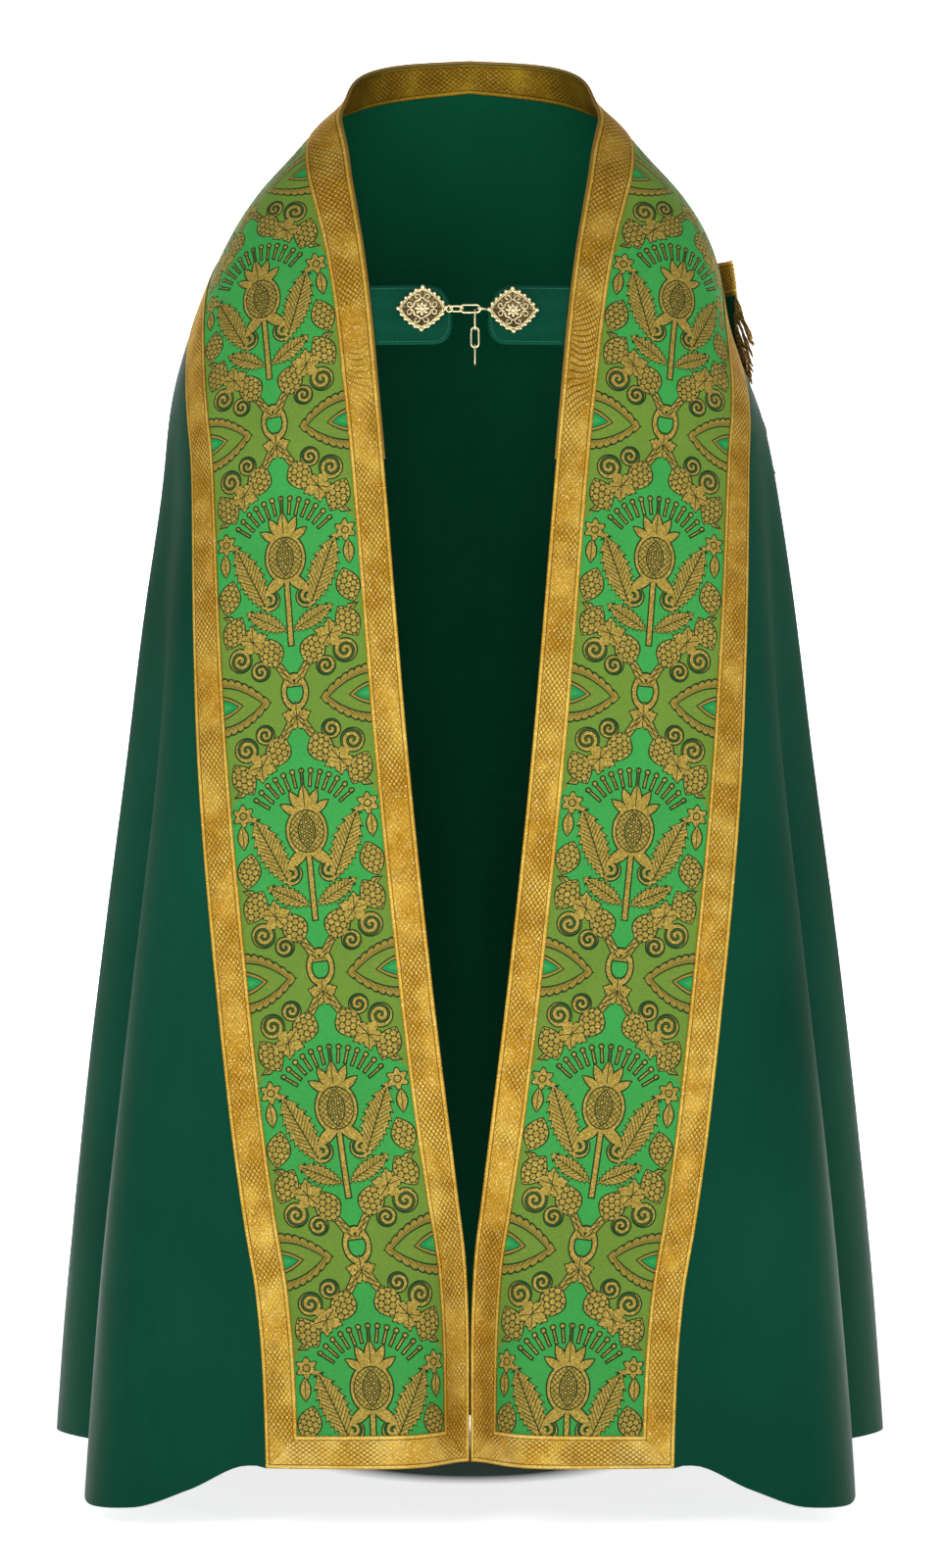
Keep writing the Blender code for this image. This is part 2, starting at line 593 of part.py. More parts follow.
def link_points(long, wide, wire):
    """Middle line of a chain link, lying in its own XZ plane with its length along X."""
    bend, straight = (wide - wire) / 2, (long - wide) / 2
    points = []
    for end in (1, -1):
        for angle in np.linspace(-math.pi / 2, math.pi / 2, LINK_BEND_STEPS + 1):
            points.append(Vector((end * (straight + bend * math.cos(angle)), 0.0, end * bend * math.sin(angle))))
    return points


def add_link(name, middle, turned, long, metal):
    """A chain link; turned is the rotation that brings its length and plane where they lie."""
    mesh = wire_mesh(name, link_points(long, LINK_WIDE, WIRE), True, WIRE)
    add_object(name, mesh, metal).matrix_world = Matrix.Translation(middle) @ turned


def add_plate(name, index, fitting, metal):
    """A clasp plate on its tab, with its ring or hook joined on."""
    here, right, up, out = tab_frame(PLATE_X[index], PLATE_Z[index])
    turned = Matrix((right, up, out)).transposed().to_4x4()
    plate = add_object(name, plate_mesh(name), metal)
    plate.matrix_world = Matrix.Translation(here + out * PLATE_LIFT) @ turned
    cutter = bpy.data.objects.new(f"{name}_fitting", fitting)
    TOOLS.objects.link(cutter)
    cutter.hide_render = True
    cutter.display_type = "WIRE"
    join = plate.modifiers.new("fitting", "BOOLEAN")
    join.operation = "UNION"
    join.solver = "EXACT"
    join.object = cutter
    return plate


def chain_y():
    """Y of the chain, level with the plates' faces at their tips."""
    tips = [tab_frame(x - math.copysign(PLATE_HALF[0], x), z) for x, z in zip(PLATE_X, PLATE_Z)]
    return sum(here.y for here, *_ in tips) / 2 - PLATE_LIFT - PLATE_THICK


def make_clasp(metal):
    """The two plates and the five links; the last three hang free."""
    y = chain_y()
    grip = WIRE + LINK_PLAY
    second_left = CHAIN_MIDDLE - (LINK_LONG - WIRE) / 2
    second_right = CHAIN_MIDDLE + (LINK_LONG - WIRE) / 2
    first_middle = second_left + grip - (LINK_FIRST - WIRE) / 2
    first_left = first_middle - (LINK_FIRST - WIRE) / 2
    ring_middle = first_left + (WIRE + RING_WIRE) / 2 + LINK_PLAY - RING_RADIUS
    ring = [Vector((ring_middle + RING_RADIUS * math.cos(a), y, CHAIN_Z + RING_RADIUS * math.sin(a)))
            for a in np.linspace(0, 2 * math.pi, 16, endpoint=False)]
    add_plate("clasp_plate_left", 0, wire_mesh("ring", ring, True, RING_WIRE), metal)
    bend = HOOK_WIDE / 2
    hook_left = second_right - grip + bend
    hook = [Vector((hook_left - bend * math.cos(a), y - bend * math.sin(a), CHAIN_Z))
            for a in np.linspace(-math.pi / 2, math.pi / 2, 9)]
    hook = [Vector((HOOK_ROOT, hook[0].y, CHAIN_Z))] + hook + [Vector((hook_left + HOOK_TIP, hook[-1].y, CHAIN_Z))]
    add_plate("clasp_plate_right", 1, wire_mesh("hook", hook, False, WIRE), metal)
    flat, upright = Matrix.Rotation(math.radians(90 - FIRST_LINK_TILT), 4, "X"), Matrix.Identity(4)
    hanging = Matrix.Rotation(math.radians(90), 4, "Y")
    edge_on = Matrix.Rotation(math.radians(90), 4, "Z")
    add_link("chain_link_1", Vector((first_middle, y, CHAIN_Z)), flat, LINK_FIRST, metal)
    add_link("chain_link_2", Vector((CHAIN_MIDDLE, y, CHAIN_Z)), upright, LINK_LONG, metal)
    carried_at = CHAIN_Z - (LINK_WIDE - WIRE) / 2
    for number in (3, 4, 5):
        middle = carried_at + grip - (LINK_LONG - WIRE) / 2
        turned = edge_on @ hanging if number % 2 else hanging
        add_link(f"chain_link_{number}", Vector((TAIL_X, y, middle)), turned, LINK_LONG, metal)
        carried_at = middle - (LINK_LONG - WIRE) / 2


PARTS = bpy.data.collections.new("cope_vestment")
TOOLS = bpy.data.collections.new("joining_shapes")


def main():
    for old in list(bpy.data.objects):
        bpy.data.objects.remove(old, do_unlink=True)
    bpy.context.scene.collection.children.link(PARTS)
    bpy.context.scene.collection.children.link(TOOLS)
    satin = material("green_satin", GREEN_SATIN, 0.55, 0.0)
    brocade = material("green_gold_brocade", BROCADE, 0.50, 0.1)
    braid = material("gold_galloon", GOLD_BRAID, 0.45, 0.5)
    bullion = material("bullion_fringe", FRINGE_GOLD, 0.45, 0.6)
    metal = material("gilt_metal", PALE_GOLD, 0.30, 1.0)
    grid = band_grid()
    for side in ("right", "left"):
        make_band(grid, side, brocade, braid)
    make_neck_facing(grid, braid)
    sheet("cope_body", body_rows(grid), CLOTH, satin)
    make_hood(grid, satin, braid, bullion)
    make_tab("morse_tab_right", 1.0, satin)
    make_tab("morse_tab_left", -1.0, satin)
    make_clasp(metal)


main()
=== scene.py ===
"""Cope vestment: satin cloak, brocade bands, galloon, back shield with bullion fringe and a chained clasp.

Units are metres, +Z up, -Y the front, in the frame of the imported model.  The worn form is given by a turn,
the angle in plan, and a height, as in the part's source.  Every cloth piece is laid out on that form and
carries a UV map called "cloth", in metres across and along the cloth.
"""

from __future__ import annotations

import logging
import math
import random
from dataclasses import dataclass, field
from enum import Enum
from functools import reduce

import bmesh
import bpy
import numpy as np
from mathutils import Matrix, Vector, noise


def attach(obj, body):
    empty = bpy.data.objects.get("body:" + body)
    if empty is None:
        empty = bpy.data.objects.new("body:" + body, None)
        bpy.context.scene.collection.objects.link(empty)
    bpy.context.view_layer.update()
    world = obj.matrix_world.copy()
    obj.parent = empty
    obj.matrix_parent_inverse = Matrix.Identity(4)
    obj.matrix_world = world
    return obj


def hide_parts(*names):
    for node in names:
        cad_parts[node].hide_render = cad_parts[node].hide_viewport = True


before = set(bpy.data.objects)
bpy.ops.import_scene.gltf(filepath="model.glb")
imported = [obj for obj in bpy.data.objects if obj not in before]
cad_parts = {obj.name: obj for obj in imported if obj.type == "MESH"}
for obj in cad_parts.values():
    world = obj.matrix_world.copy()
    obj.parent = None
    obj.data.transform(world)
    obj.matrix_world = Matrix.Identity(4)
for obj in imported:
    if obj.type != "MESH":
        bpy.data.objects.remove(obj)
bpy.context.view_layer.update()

LOG = logging.getLogger("cope")
SEED = 7


# ---- sizes shared with the part ------------------------------------------------------------------
CLOTH = 0.0016              # wall of the satin and of the brocade
GALLOON_CLOTH = 0.0010
ORPHREY_WIDTH = 0.211
GALLOON_WIDTH = 0.032
CENTRE_GAP = 0.0009         # half the gap between the fronts where they meet
PLAN_POWER = 2.3            # how square the form is in plan, 2 being an oval
HEM_LEVEL = -1.45
NECK_SAMPLES = 27           # rows of the band's grid round the neck, and down the front
FRONT_SAMPLES = 15
SHOULDER_AT = 0.50          # where the two meet, along the straight edge from the centre back
TURN_STEP = 0.2             # degrees and metres over which the form's slopes are taken
HEIGHT_STEP = 0.0008
EDGE_STEP = 0.004           # stride of the walk square off the straight edge
EDGE_SIGHT = 0.090          # how far along the edge the walk looks to set out
EDGE_SMOOTHING = 90
GRID_SMOOTHING = 14
EVEN_TO = 0.60              # the band's lines are evened out this far along the edge,
EVEN_FADE = 0.2             # and less and less over this last stretch
BRAID_LINES = 9             # lines of the grid under a galloon, and between the two galloons
FIELD_LINES = 33
PAST_EDGE = 0.0005          # the grid's last line lies this far past the band's edge
EDGE_POINTS = 400
HEM_POINTS = 1500

# Level sections of the form: half widths, and depths before and behind the section's centre.
SECTIONS = {
    "height":      (0.030, 0.000, -0.030, -0.056, -0.085, -0.116, -0.156, -0.195, -0.250, -0.314, -0.407,
                    -0.560, -0.730, -0.889, -1.047, -1.206, -1.364, -1.480),
    "half_width":  (0.108, 0.112, 0.1175, 0.1255, 0.1530, 0.1800, 0.2150, 0.2400, 0.2640, 0.2820, 0.3020,
                    0.3250, 0.3430, 0.3600, 0.3760, 0.3900, 0.4015, 0.4085),
    "centre_y":    (0.030, 0.030, 0.028, 0.025, 0.020, 0.018, 0.015, 0.015, 0.015, 0.016, 0.017,
                    0.020, 0.024, 0.027, 0.030, 0.033, 0.036, 0.038),
    "front_depth": (0.056, 0.060, 0.065, 0.070, 0.078, 0.088, 0.102, 0.116, 0.135, 0.152, 0.170,
                    0.190, 0.208, 0.224, 0.240, 0.258, 0.276, 0.288),
    "back_depth":  (0.076, 0.080, 0.090, 0.099, 0.110, 0.119, 0.132, 0.142, 0.152, 0.160, 0.170,
                    0.182, 0.196, 0.210, 0.224, 0.238, 0.252, 0.262),
}
# The straight edge round the back neck, and half the gap between the front edges.
NECK_EDGE = {
    "turn":   (90.0, 60.0, 36.0, 15.0, -12.0, -39.0),
    "height": (0.000, -0.003, -0.0135, -0.0285, -0.056, -0.085),
}
FRONT_EDGE = {
    "height":   (-0.085, -0.116, -0.166, -0.250, -0.407, -0.560, -0.693, -0.844, -0.995, -1.145,
                 -1.258, -1.500),
    "half_gap": (0.1225, 0.1200, 0.1130, 0.1010, 0.0860, 0.0730, 0.0620, 0.0470, 0.0300, 0.0125,
                 CENTRE_GAP, CENTRE_GAP),
}
# The large folds: where they lie, how wide they are, how far out they stand at the hem, where they start.
FOLDS = {
    "turn":   (-90.0, -40.0, -16.0, 7.0, 27.0, 41.0, 57.0, 72.0, 90.0),
    "spread": (3.7, 9.0, 8.0, 10.0, 7.0, 7.5, 8.0, 7.5, 7.0),
    "stands": (-0.050, 0.046, -0.085, 0.022, -0.034, 0.030, -0.034, 0.032, -0.030),
    "starts": (-0.95, -0.42, -0.30, -0.30, -0.50, -0.42, -0.46, -0.55, -0.48),
}
# Two places where the cloth hangs unevenly: how far round and down each reaches, and how far it moves out.
UNEVEN = {
    "turn":   (5.0, 176.0),
    "spread": (24.0, 24.0),
    "height": (-0.292, -0.350),
    "reach":  (0.044, 0.055),
    "out":    (-0.018, 0.008),
}
# Height of the hem round one half.
HEM = {
    "turn":   (-90.0, -60.0, -52.0, -45.0, -38.0, -31.0, -20.0, 5.0, 45.0, 90.0),
    "height": (-1.4005, -1.4005, -1.425, -1.443, -1.446, -1.437, -1.424, -1.412, -1.424, -1.432),
}


class Side(Enum):
    """Which half of the cope a piece is on, seen by a viewer who faces the front."""

    LEFT = "left"
    RIGHT = "right"


def through(xs: np.ndarray, ys: np.ndarray, x: np.ndarray) -> np.ndarray:
    """Read a smooth curve through a table, without overshoot.

    Args:
        xs: The table's places, rising or falling.
        ys: The table's values.
        x: Where to read it.

    Returns:
        The values there.
    """
    xs, ys = np.asarray(xs, float), np.asarray(ys, float)
    if xs[0] > xs[-1]:
        xs, ys = xs[::-1], ys[::-1]
    x = np.clip(np.asarray(x, float), xs[0], xs[-1])
    run = np.diff(xs)
    slope = np.diff(ys) / run
    tangent = np.zeros(len(xs))
    tangent[0], tangent[-1] = slope[0], slope[-1]
    both = slope[:-1] * slope[1:]
    total = slope[:-1] + slope[1:]
    tangent[1:-1] = np.where(both > 0, 2 * both / np.where(total == 0, 1, total), 0)
    i = np.clip(np.searchsorted(xs, x, side="right") - 1, 0, len(run) - 1)
    t = (x - xs[i]) / run[i]
    return (ys[i] * (1 + 2 * t) * (1 - t) ** 2 + tangent[i] * run[i] * t * (1 - t) ** 2
            + ys[i + 1] * t * t * (3 - 2 * t) + tangent[i + 1] * run[i] * t * t * (t - 1))


def ease(t: np.ndarray) -> np.ndarray:
    """Go smoothly from 0 to 1 as t does."""
    t = np.clip(t, 0.0, 1.0)
    return t * t * (3 - 2 * t)


def unit(vectors: np.ndarray) -> np.ndarray:
    """Scale vectors to length 1."""
    return vectors / np.linalg.norm(vectors, axis=-1, keepdims=True)


def run_along(points: np.ndarray, axis: int = 0) -> np.ndarray:
    """Measure how far each point lies along its line.

    Args:
        points: An array whose last axis is X, Y, Z.
        axis: The axis that the lines run along.

    Returns:
        The distance from the line's first point, an array without the last axis.
    """
    steps = np.linalg.norm(np.diff(points, axis=axis), axis=-1)
    start = np.zeros_like(np.take(steps, [0], axis=axis))
    return np.cumsum(np.concatenate([start, steps], axis=axis), axis=axis)


# ---- the worn form -------------------------------------------------------------------------------
@dataclass
class WornForm:
    """The form that all the cloth follows: points, directions and the band's grid of places on it."""

    edge_length: np.ndarray = field(init=False)
    edge_track: np.ndarray = field(init=False)
    stations: np.ndarray = field(init=False)
    distances: np.ndarray = field(init=False)
    grid: np.ndarray = field(init=False)

    def __post_init__(self) -> None:
        """Trace the straight edge and lay the band's grid."""
        self.edge_length, self.edge_track = self._trace_edge()
        half = self.half_edge
        neck = np.linspace(0.0, SHOULDER_AT, NECK_SAMPLES + 1)
        front = np.linspace(SHOULDER_AT, half - GALLOON_WIDTH, FRONT_SAMPLES)
        self.stations = np.concatenate([neck, front[1:], [half]])
        outer = ORPHREY_WIDTH - GALLOON_WIDTH
        self.distances = np.concatenate([np.linspace(0.0, GALLOON_WIDTH, BRAID_LINES),
                                         np.linspace(GALLOON_WIDTH, outer, FIELD_LINES)[1:],
                                         np.linspace(outer, ORPHREY_WIDTH, BRAID_LINES)[1:],
                                         [ORPHREY_WIDTH + PAST_EDGE]])
        self.grid = self._lay_grid()

    @property
    def half_edge(self) -> float:
        """Length of the straight edge from the centre back to a foot."""
        return float(self.edge_length[-1])

    @staticmethod
    def _folds(turn: np.ndarray, height: np.ndarray) -> np.ndarray:
        """How far the folds and the uneven hang move the cloth out."""
        near = np.where(turn <= 90, turn, 180 - turn)
        out = np.zeros(np.broadcast(turn, height).shape)
        for at, spread, stands, starts in zip(*FOLDS.values()):
            down = ease((starts - height) / (starts - HEM_LEVEL)) ** 0.8
            out = out + stands * down * np.exp(-0.5 * ((near - at) / spread) ** 2)
        for at, spread, level, reach, moves in zip(*UNEVEN.values()):
            away = ((turn - at) / spread) ** 2 + ((height - level) / reach) ** 2
            out = out + moves * np.exp(-0.5 * away)
        return out

    def cloth(self, places: np.ndarray) -> np.ndarray:
        """Find the cloth's inner face.

        Args:
            places: Turns and heights, on the last axis.

        Returns:
            The points.
        """
        turn, height = places[..., 0], places[..., 1]
        size = {name: through(SECTIONS["height"], column, height)
                for name, column in SECTIONS.items() if name != "height"}
        c, s = np.cos(np.radians(turn)), np.sin(np.radians(turn))
        wide, deep = size["half_width"], np.where(s < 0, size["front_depth"], size["back_depth"])
        reach = (np.abs(c) ** PLAN_POWER + np.abs(s) ** PLAN_POWER) ** (-1 / PLAN_POWER)
        x, y = wide * reach * c, deep * reach * s
        out_x = np.sign(x) * np.abs(x / wide) ** (PLAN_POWER - 1) / wide
        out_y = np.sign(y) * np.abs(y / deep) ** (PLAN_POWER - 1) / deep
        rise = self._folds(turn, height) / np.hypot(out_x, out_y)
        return np.stack([x + out_x * rise, size["centre_y"] + y + out_y * rise, height], axis=-1)

    def _slopes(self, places: np.ndarray) -> tuple[np.ndarray, np.ndarray]:
        """How the point moves for a degree of turn and for a metre of height."""
        by_turn, by_height = ((self.cloth(places + step) - self.cloth(places - step)) / (2 * sum(step))
                              for step in ((TURN_STEP, 0.0), (0.0, HEIGHT_STEP)))
        return by_turn, by_height

    def outward(self, places: np.ndarray) -> np.ndarray:
        """The cloth's outward direction at places."""
        return unit(np.cross(*self._slopes(places)))

    def lifted(self, places: np.ndarray, lift: np.ndarray | float) -> np.ndarray:
        """The cloth's points moved out by a distance."""
        lift = np.asarray(lift, float)
        return self.cloth(places) + self.outward(places) * (lift[..., None] if lift.ndim else lift)

    @staticmethod
    def front_edge_turn(height: np.ndarray) -> np.ndarray:
        """The turn at which the +X front edge lies."""
        gap = through(FRONT_EDGE["height"], FRONT_EDGE["half_gap"], height)
        ratio = through(SECTIONS["height"], SECTIONS["half_width"], height) / gap
        return -np.degrees(np.arctan((ratio ** PLAN_POWER - 1) ** (1 / PLAN_POWER)))

    def _trace_edge(self) -> tuple[np.ndarray, np.ndarray]:
        """The straight edge of the cut, as lengths along it and its turns and heights."""
        heights = np.array(FRONT_EDGE["height"][1:-1])
        knots = np.concatenate([np.stack([NECK_EDGE["turn"], NECK_EDGE["height"]], axis=1),
                                np.stack([self.front_edge_turn(heights), heights], axis=1),
                                [[float(self.front_edge_turn(HEM["height"][0])), HEM["height"][0]]]])
        along = run_along(self.cloth(knots))
        fine = np.linspace(0.0, along[-1], EDGE_POINTS)
        track = np.stack([through(along, knots[:, 0], fine), through(along, knots[:, 1], fine)], axis=1)
        for _ in range(EDGE_SMOOTHING):
            track[1:-1] = (track[:-2] + 2 * track[1:-1] + track[2:]) / 4
        return run_along(self.cloth(track)), track

    def edge_at(self, along: np.ndarray) -> np.ndarray:
        """Turn and height of the straight edge at distances from the centre back."""
        columns = [np.interp(along, self.edge_length, column) for column in self.edge_track.T]
        return np.stack(columns, axis=-1)

    def step(self, places: np.ndarray, ahead: np.ndarray) -> np.ndarray:
        """Move each place one small vector over the cloth."""
        moves = np.stack(self._slopes(places), axis=-1)
        square = np.einsum("nki,nkj->nij", moves, moves)
        change = np.linalg.solve(square, np.einsum("nki,nk->ni", moves, ahead)[..., None])[..., 0]
        return places + change

    def _lay_grid(self) -> np.ndarray:
        """Walk square off the edge from every station at once, then even the lines out round the neck."""
        stations, half = self.stations, self.half_edge
        places = self.edge_at(stations)
        before = self.cloth(self.edge_at(np.abs(stations - EDGE_SIGHT)))
        after = self.cloth(self.edge_at(np.minimum(stations + EDGE_SIGHT, half)))
        before[stations < EDGE_SIGHT, 0] *= -1
        ahead = unit(np.cross(self.outward(places), after - before))
        lines, walked = [], 0.0
        for distance in self.distances:
            while walked < distance - 1e-9:
                stride = min(EDGE_STEP, distance - walked)
                here = self.cloth(places)
                places = self.step(places, ahead * stride)
                normal = self.outward(places)
                ahead = self.cloth(places) - here
                ahead = unit(ahead - normal * np.sum(ahead * normal, axis=-1, keepdims=True))
                walked += stride
            lines.append(places)
        grid = np.stack(lines, axis=1)
        share = (ease(self.distances / GALLOON_WIDTH)[None, :]
                 * ease((EVEN_TO - stations[1:-1]) / EVEN_FADE)[:, None])[:, :, None]
        for _ in range(GRID_SMOOTHING):
            even = (grid[:-2] + 2 * grid[1:-1] + grid[2:]) / 4
            grid[1:-1] += share * (even - grid[1:-1])
        return grid

    def band_places(self, along: np.ndarray, across: np.ndarray) -> np.ndarray:
        """Find places on the band by its own measures.

        Args:
            along: Distances from the centre back, one for each row.
            across: Distances from the straight edge, one for each column.

        Returns:
            Turns and heights, rows by columns by 2.
        """
        lines = np.empty((len(along), len(self.distances), 2))
        for k in (0, 1):
            for j in range(len(self.distances)):
                lines[:, j, k] = through(self.stations, self.grid[:, j, k], along)
        places = np.empty((len(along), len(across), 2))
        for k in (0, 1):
            for i in range(len(along)):
                places[i, :, k] = np.interp(across, self.distances, lines[i, :, k])
        return places

    def band_line(self, along: np.ndarray, across: np.ndarray) -> np.ndarray:
        """Places on the band at pairs of distances along and across it."""
        lines = np.stack([through(self.stations, self.grid[:, j, k], along)
                          for j in range(len(self.distances)) for k in (0, 1)], axis=1)
        lines = lines.reshape(len(along), len(self.distances), 2)
        return np.array([[np.interp(a, self.distances, line[:, k]) for k in (0, 1)]
                         for a, line in zip(across, lines)])

    @staticmethod
    def hem_height(turn: np.ndarray) -> np.ndarray:
        """Height of the hem at turns."""
        return through(HEM["turn"], HEM["height"], np.where(turn <= 90, turn, 180 - turn))

    def body_places(self, columns: int, rows: int) -> np.ndarray:
        """Lay out the cloak below the bands, a blend of its seams and hem.

        Args:
            columns: Points from one front seam round the back to the other.
            rows: Points from the top to the hem.

        Returns:
            Turns and heights, rows by columns by 2.
        """
        half_columns = columns // 2 + 1
        seam_at = np.array([ORPHREY_WIDTH])
        top_half = self.band_places(np.linspace(0.0, SHOULDER_AT, half_columns), seam_at)[:, 0]
        top_half[0, 0] = 90.0
        top = np.concatenate([top_half[::-1], mirrored(top_half[1:])])
        front = self.band_places(np.linspace(SHOULDER_AT, self.half_edge, rows), seam_at)[:, 0]
        depth = run_along(self.cloth(front))
        fine = np.linspace(front[-1, 0], 180.0 - front[-1, 0], HEM_POINTS)
        track = self.cloth(np.stack([fine, self.hem_height(fine)], axis=1))
        run = run_along(track)
        turns = np.interp(np.linspace(0.0, run[-1], len(top)), run, fine)
        hem = np.stack([turns, self.hem_height(turns)], axis=1)
        hem[0], hem[-1] = front[-1], mirrored(front[-1])
        u = np.linspace(0.0, 1.0, len(top))[None, :, None]
        down = (depth / depth[-1])[:, None, None]
        sides = (1 - u) * front[:, None] + u * mirrored(front)[:, None]
        ends = (1 - down) * top[None] + down * hem[None]
        corners = ((1 - u) * (1 - down) * top[0] + u * (1 - down) * top[-1]
                   + (1 - u) * down * hem[0] + u * down * hem[-1])
        return sides + ends - corners


def mirrored(places: np.ndarray) -> np.ndarray:
    """The same places on the other half."""
    return places * np.array([-1.0, 1.0]) + np.array([180.0, 0.0])


def on(side: Side, places: np.ndarray) -> np.ndarray:
    """Places of the +X half brought to a side."""
    return places if side is Side.RIGHT else mirrored(places)


# ---- shader kit ----------------------------------------------------------------------------------
def linear(code: str) -> tuple[float, float, float, float]:
    """Turn an sRGB hex colour linear, as shaders take it.

    Args:
        code: Six hex digits.

    Returns:
        Red, green, blue and alpha.
    """
    parts = [int(code[i:i + 2], 16) / 255 for i in (0, 2, 4)]
    return (*(p / 12.92 if p <= 0.04045 else ((p + 0.055) / 1.055) ** 2.4 for p in parts), 1.0)


def set_inputs(tree: bpy.types.NodeTree, node: bpy.types.Node, inputs: dict) -> None:
    """Set a node's inputs, each by name or number, to a plain value, a socket or a Value."""
    for key, value in inputs.items():
        value = value.socket if isinstance(value, Value) else value
        if isinstance(value, bpy.types.NodeSocket):
            tree.links.new(value, node.inputs[key])
        else:
            node.inputs[key].default_value = value


def add_node(tree: bpy.types.NodeTree, kind: str, inputs: dict, **settings) -> bpy.types.Node:
    """Add a node with its settings, its plain inputs and its links.

    Args:
        tree: The node tree.
        kind: The node's type.
        inputs: Input name or number to a plain value, a socket or a Value.
        **settings: The node's own properties.

    Returns:
        The node.
    """
    node = tree.nodes.new(kind)
    for name, value in settings.items():
        setattr(node, name, value)
    set_inputs(tree, node, inputs)
    return node


@dataclass(frozen=True)
class Value:
    """A number in a shader; sums written on it become Math nodes."""

    tree: bpy.types.NodeTree
    socket: bpy.types.NodeSocket

    def calc(self, operation: str, *others: "Value | float", clamp: bool = False) -> "Value":
        """Feed this value and others to one Math node."""
        node = add_node(self.tree, "ShaderNodeMath", dict(enumerate((self, *others))), operation=operation,
                        use_clamp=clamp)
        return Value(self.tree, node.outputs[0])

    def __add__(self, other: "Value | float") -> "Value":
        """Sum."""
        return self.calc("ADD", other)

    __radd__ = __add__

    def __sub__(self, other: "Value | float") -> "Value":
        """Difference."""
        return self.calc("SUBTRACT", other)

    def __rsub__(self, other: float) -> "Value":
        """Difference from a number."""
        return self.calc("MULTIPLY_ADD", -1.0, other)

    def __mul__(self, other: "Value | float") -> "Value":
        """Product."""
        return self.calc("MULTIPLY", other)

    __rmul__ = __mul__

    def __truediv__(self, other: "Value | float") -> "Value":
        """Quotient."""
        return self.calc("DIVIDE", other)

    def __abs__(self) -> "Value":
        """Size without its sign."""
        return self.calc("ABSOLUTE")

    def wave(self, length: float, start: float = 0.0) -> "Value":
        """A sine of this value, once round in a length."""
        return (self * (2 * math.pi / length) + start).calc("SINE")

    def wrapped(self, length: float, start: float = 0.0) -> "Value":
        """This value brought between minus and plus half a length, 0 at start."""
        return self.calc("SUBTRACT", start).calc("WRAP", length / 2, -length / 2)

    def least(self, *others: "Value | float") -> "Value":
        """The smallest of some values."""
        return reduce(lambda lowest, other: lowest.calc("MINIMUM", other), others, self)

    def most(self, *others: "Value | float") -> "Value":
        """The largest of some values."""
        return reduce(lambda highest, other: highest.calc("MAXIMUM", other), others, self)

    def ramp(self, gain: float, start: float) -> "Value":
        """This value times a gain, from a start, kept between 0 and 1."""
        return self.calc("MULTIPLY_ADD", gain, start, clamp=True)

    def below(self, edge: float = 0.0, soft: float = 0.35) -> "Value":
        """1 where this value is under an edge and 0 where it is over it."""
        return self.ramp(-1 / soft, edge / soft + 0.5)

    def line(self, half: float, soft: float = 0.35) -> "Value":
        """1 where this value is near 0 and 0 elsewhere."""
        return abs(self).below(half, soft)


@dataclass(frozen=True)
class Point:
    """A place in a flat pattern, in millimetres."""

    x: Value
    y: Value

    def moved(self, x: float, y: float, turn: float = 0.0) -> "Point":
        """The same place seen from a motif's own middle.

        Args:
            x: The motif's middle.
            y: The motif's middle.
            turn: Degrees that the motif is turned by.

        Returns:
            The place in the motif's own axes.
        """
        c, s = math.cos(math.radians(turn)), math.sin(math.radians(turn))
        dx, dy = self.x - x if x else self.x, self.y - y if y else self.y
        if not turn:
            return Point(dx, dy)
        return Point(dx * c + dy * s, dy * c - dx * s)

    def folded(self) -> "Point":
        """The place with its left half laid on its right."""
        return Point(abs(self.x), self.y)

    def length(self) -> Value:
        """Distance from the middle."""
        return (self.x * self.x + self.y * self.y).calc("SQRT")

    def angle(self) -> Value:
        """Direction from the middle, in radians, 0 along y."""
        return self.x.calc("ARCTAN2", self.y)

    def disc(self, radius: float) -> Value:
        """Distance outside a disc."""
        return self.length() - radius

    def oval(self, wide: float, tall: float) -> Value:
        """Distance outside an oval, near its edge."""
        return (Point(self.x * (1 / wide), self.y * (1 / tall)).length() - 1.0) * min(wide, tall)

    def leaf(self, half_long: float, half_wide: float) -> Value:
        """Distance outside a pointed leaf that lies along y."""
        share = self.y * (1 / half_long)
        return abs(self.x) - (1.0 - share * share) * half_wide

    def acanthus(self, half_long: float, half_wide: float, lobe: float, depth: float) -> Value:
        """Distance outside a leaf along y whose edge is cut into lobes."""
        share = self.y * (1 / half_long)
        lobes = abs((self.y + abs(self.x) * 0.8).wave(2 * lobe)) * depth
        return abs(self.x) - (1.0 - share * share) * half_wide + lobes - depth / 2

    def rosette(self, radius: float, petals: int, depth: float) -> Value:
        """Distance outside a round flower."""
        return self.length() - (self.angle() * petals).calc("COSINE") * depth - radius

    def vine_leaf(self, radius: float) -> Value:
        """Distance outside a five-pointed leaf, point up."""
        angle = self.angle()
        large, small = (angle * 5).calc("COSINE"), (angle * 15).calc("COSINE")
        return self.length() - (large * (0.17 * radius) + small * (0.07 * radius)) - radius * 0.85

    def scroll(self, radius: float, pitch: float, hand: float = 1.0) -> Value:
        """Distance from the middle line of a spiral of a radius, large outside it."""
        reach = self.length()
        coil = abs((reach + self.angle() * (hand * pitch / (2 * math.pi))).wrapped(pitch))
        return coil.most(reach - radius)

    def berries(self, size: float) -> Value:
        """Distance outside round berries packed in rows."""
        apart = 0.87 * size
        row = self.y.wrapped(2 * apart)
        first = Point(self.x.wrapped(size), row).length()
        other = Point(self.x.wrapped(size, size / 2), self.y.wrapped(2 * apart, apart)).length()
        return first.least(other) - 0.44 * size


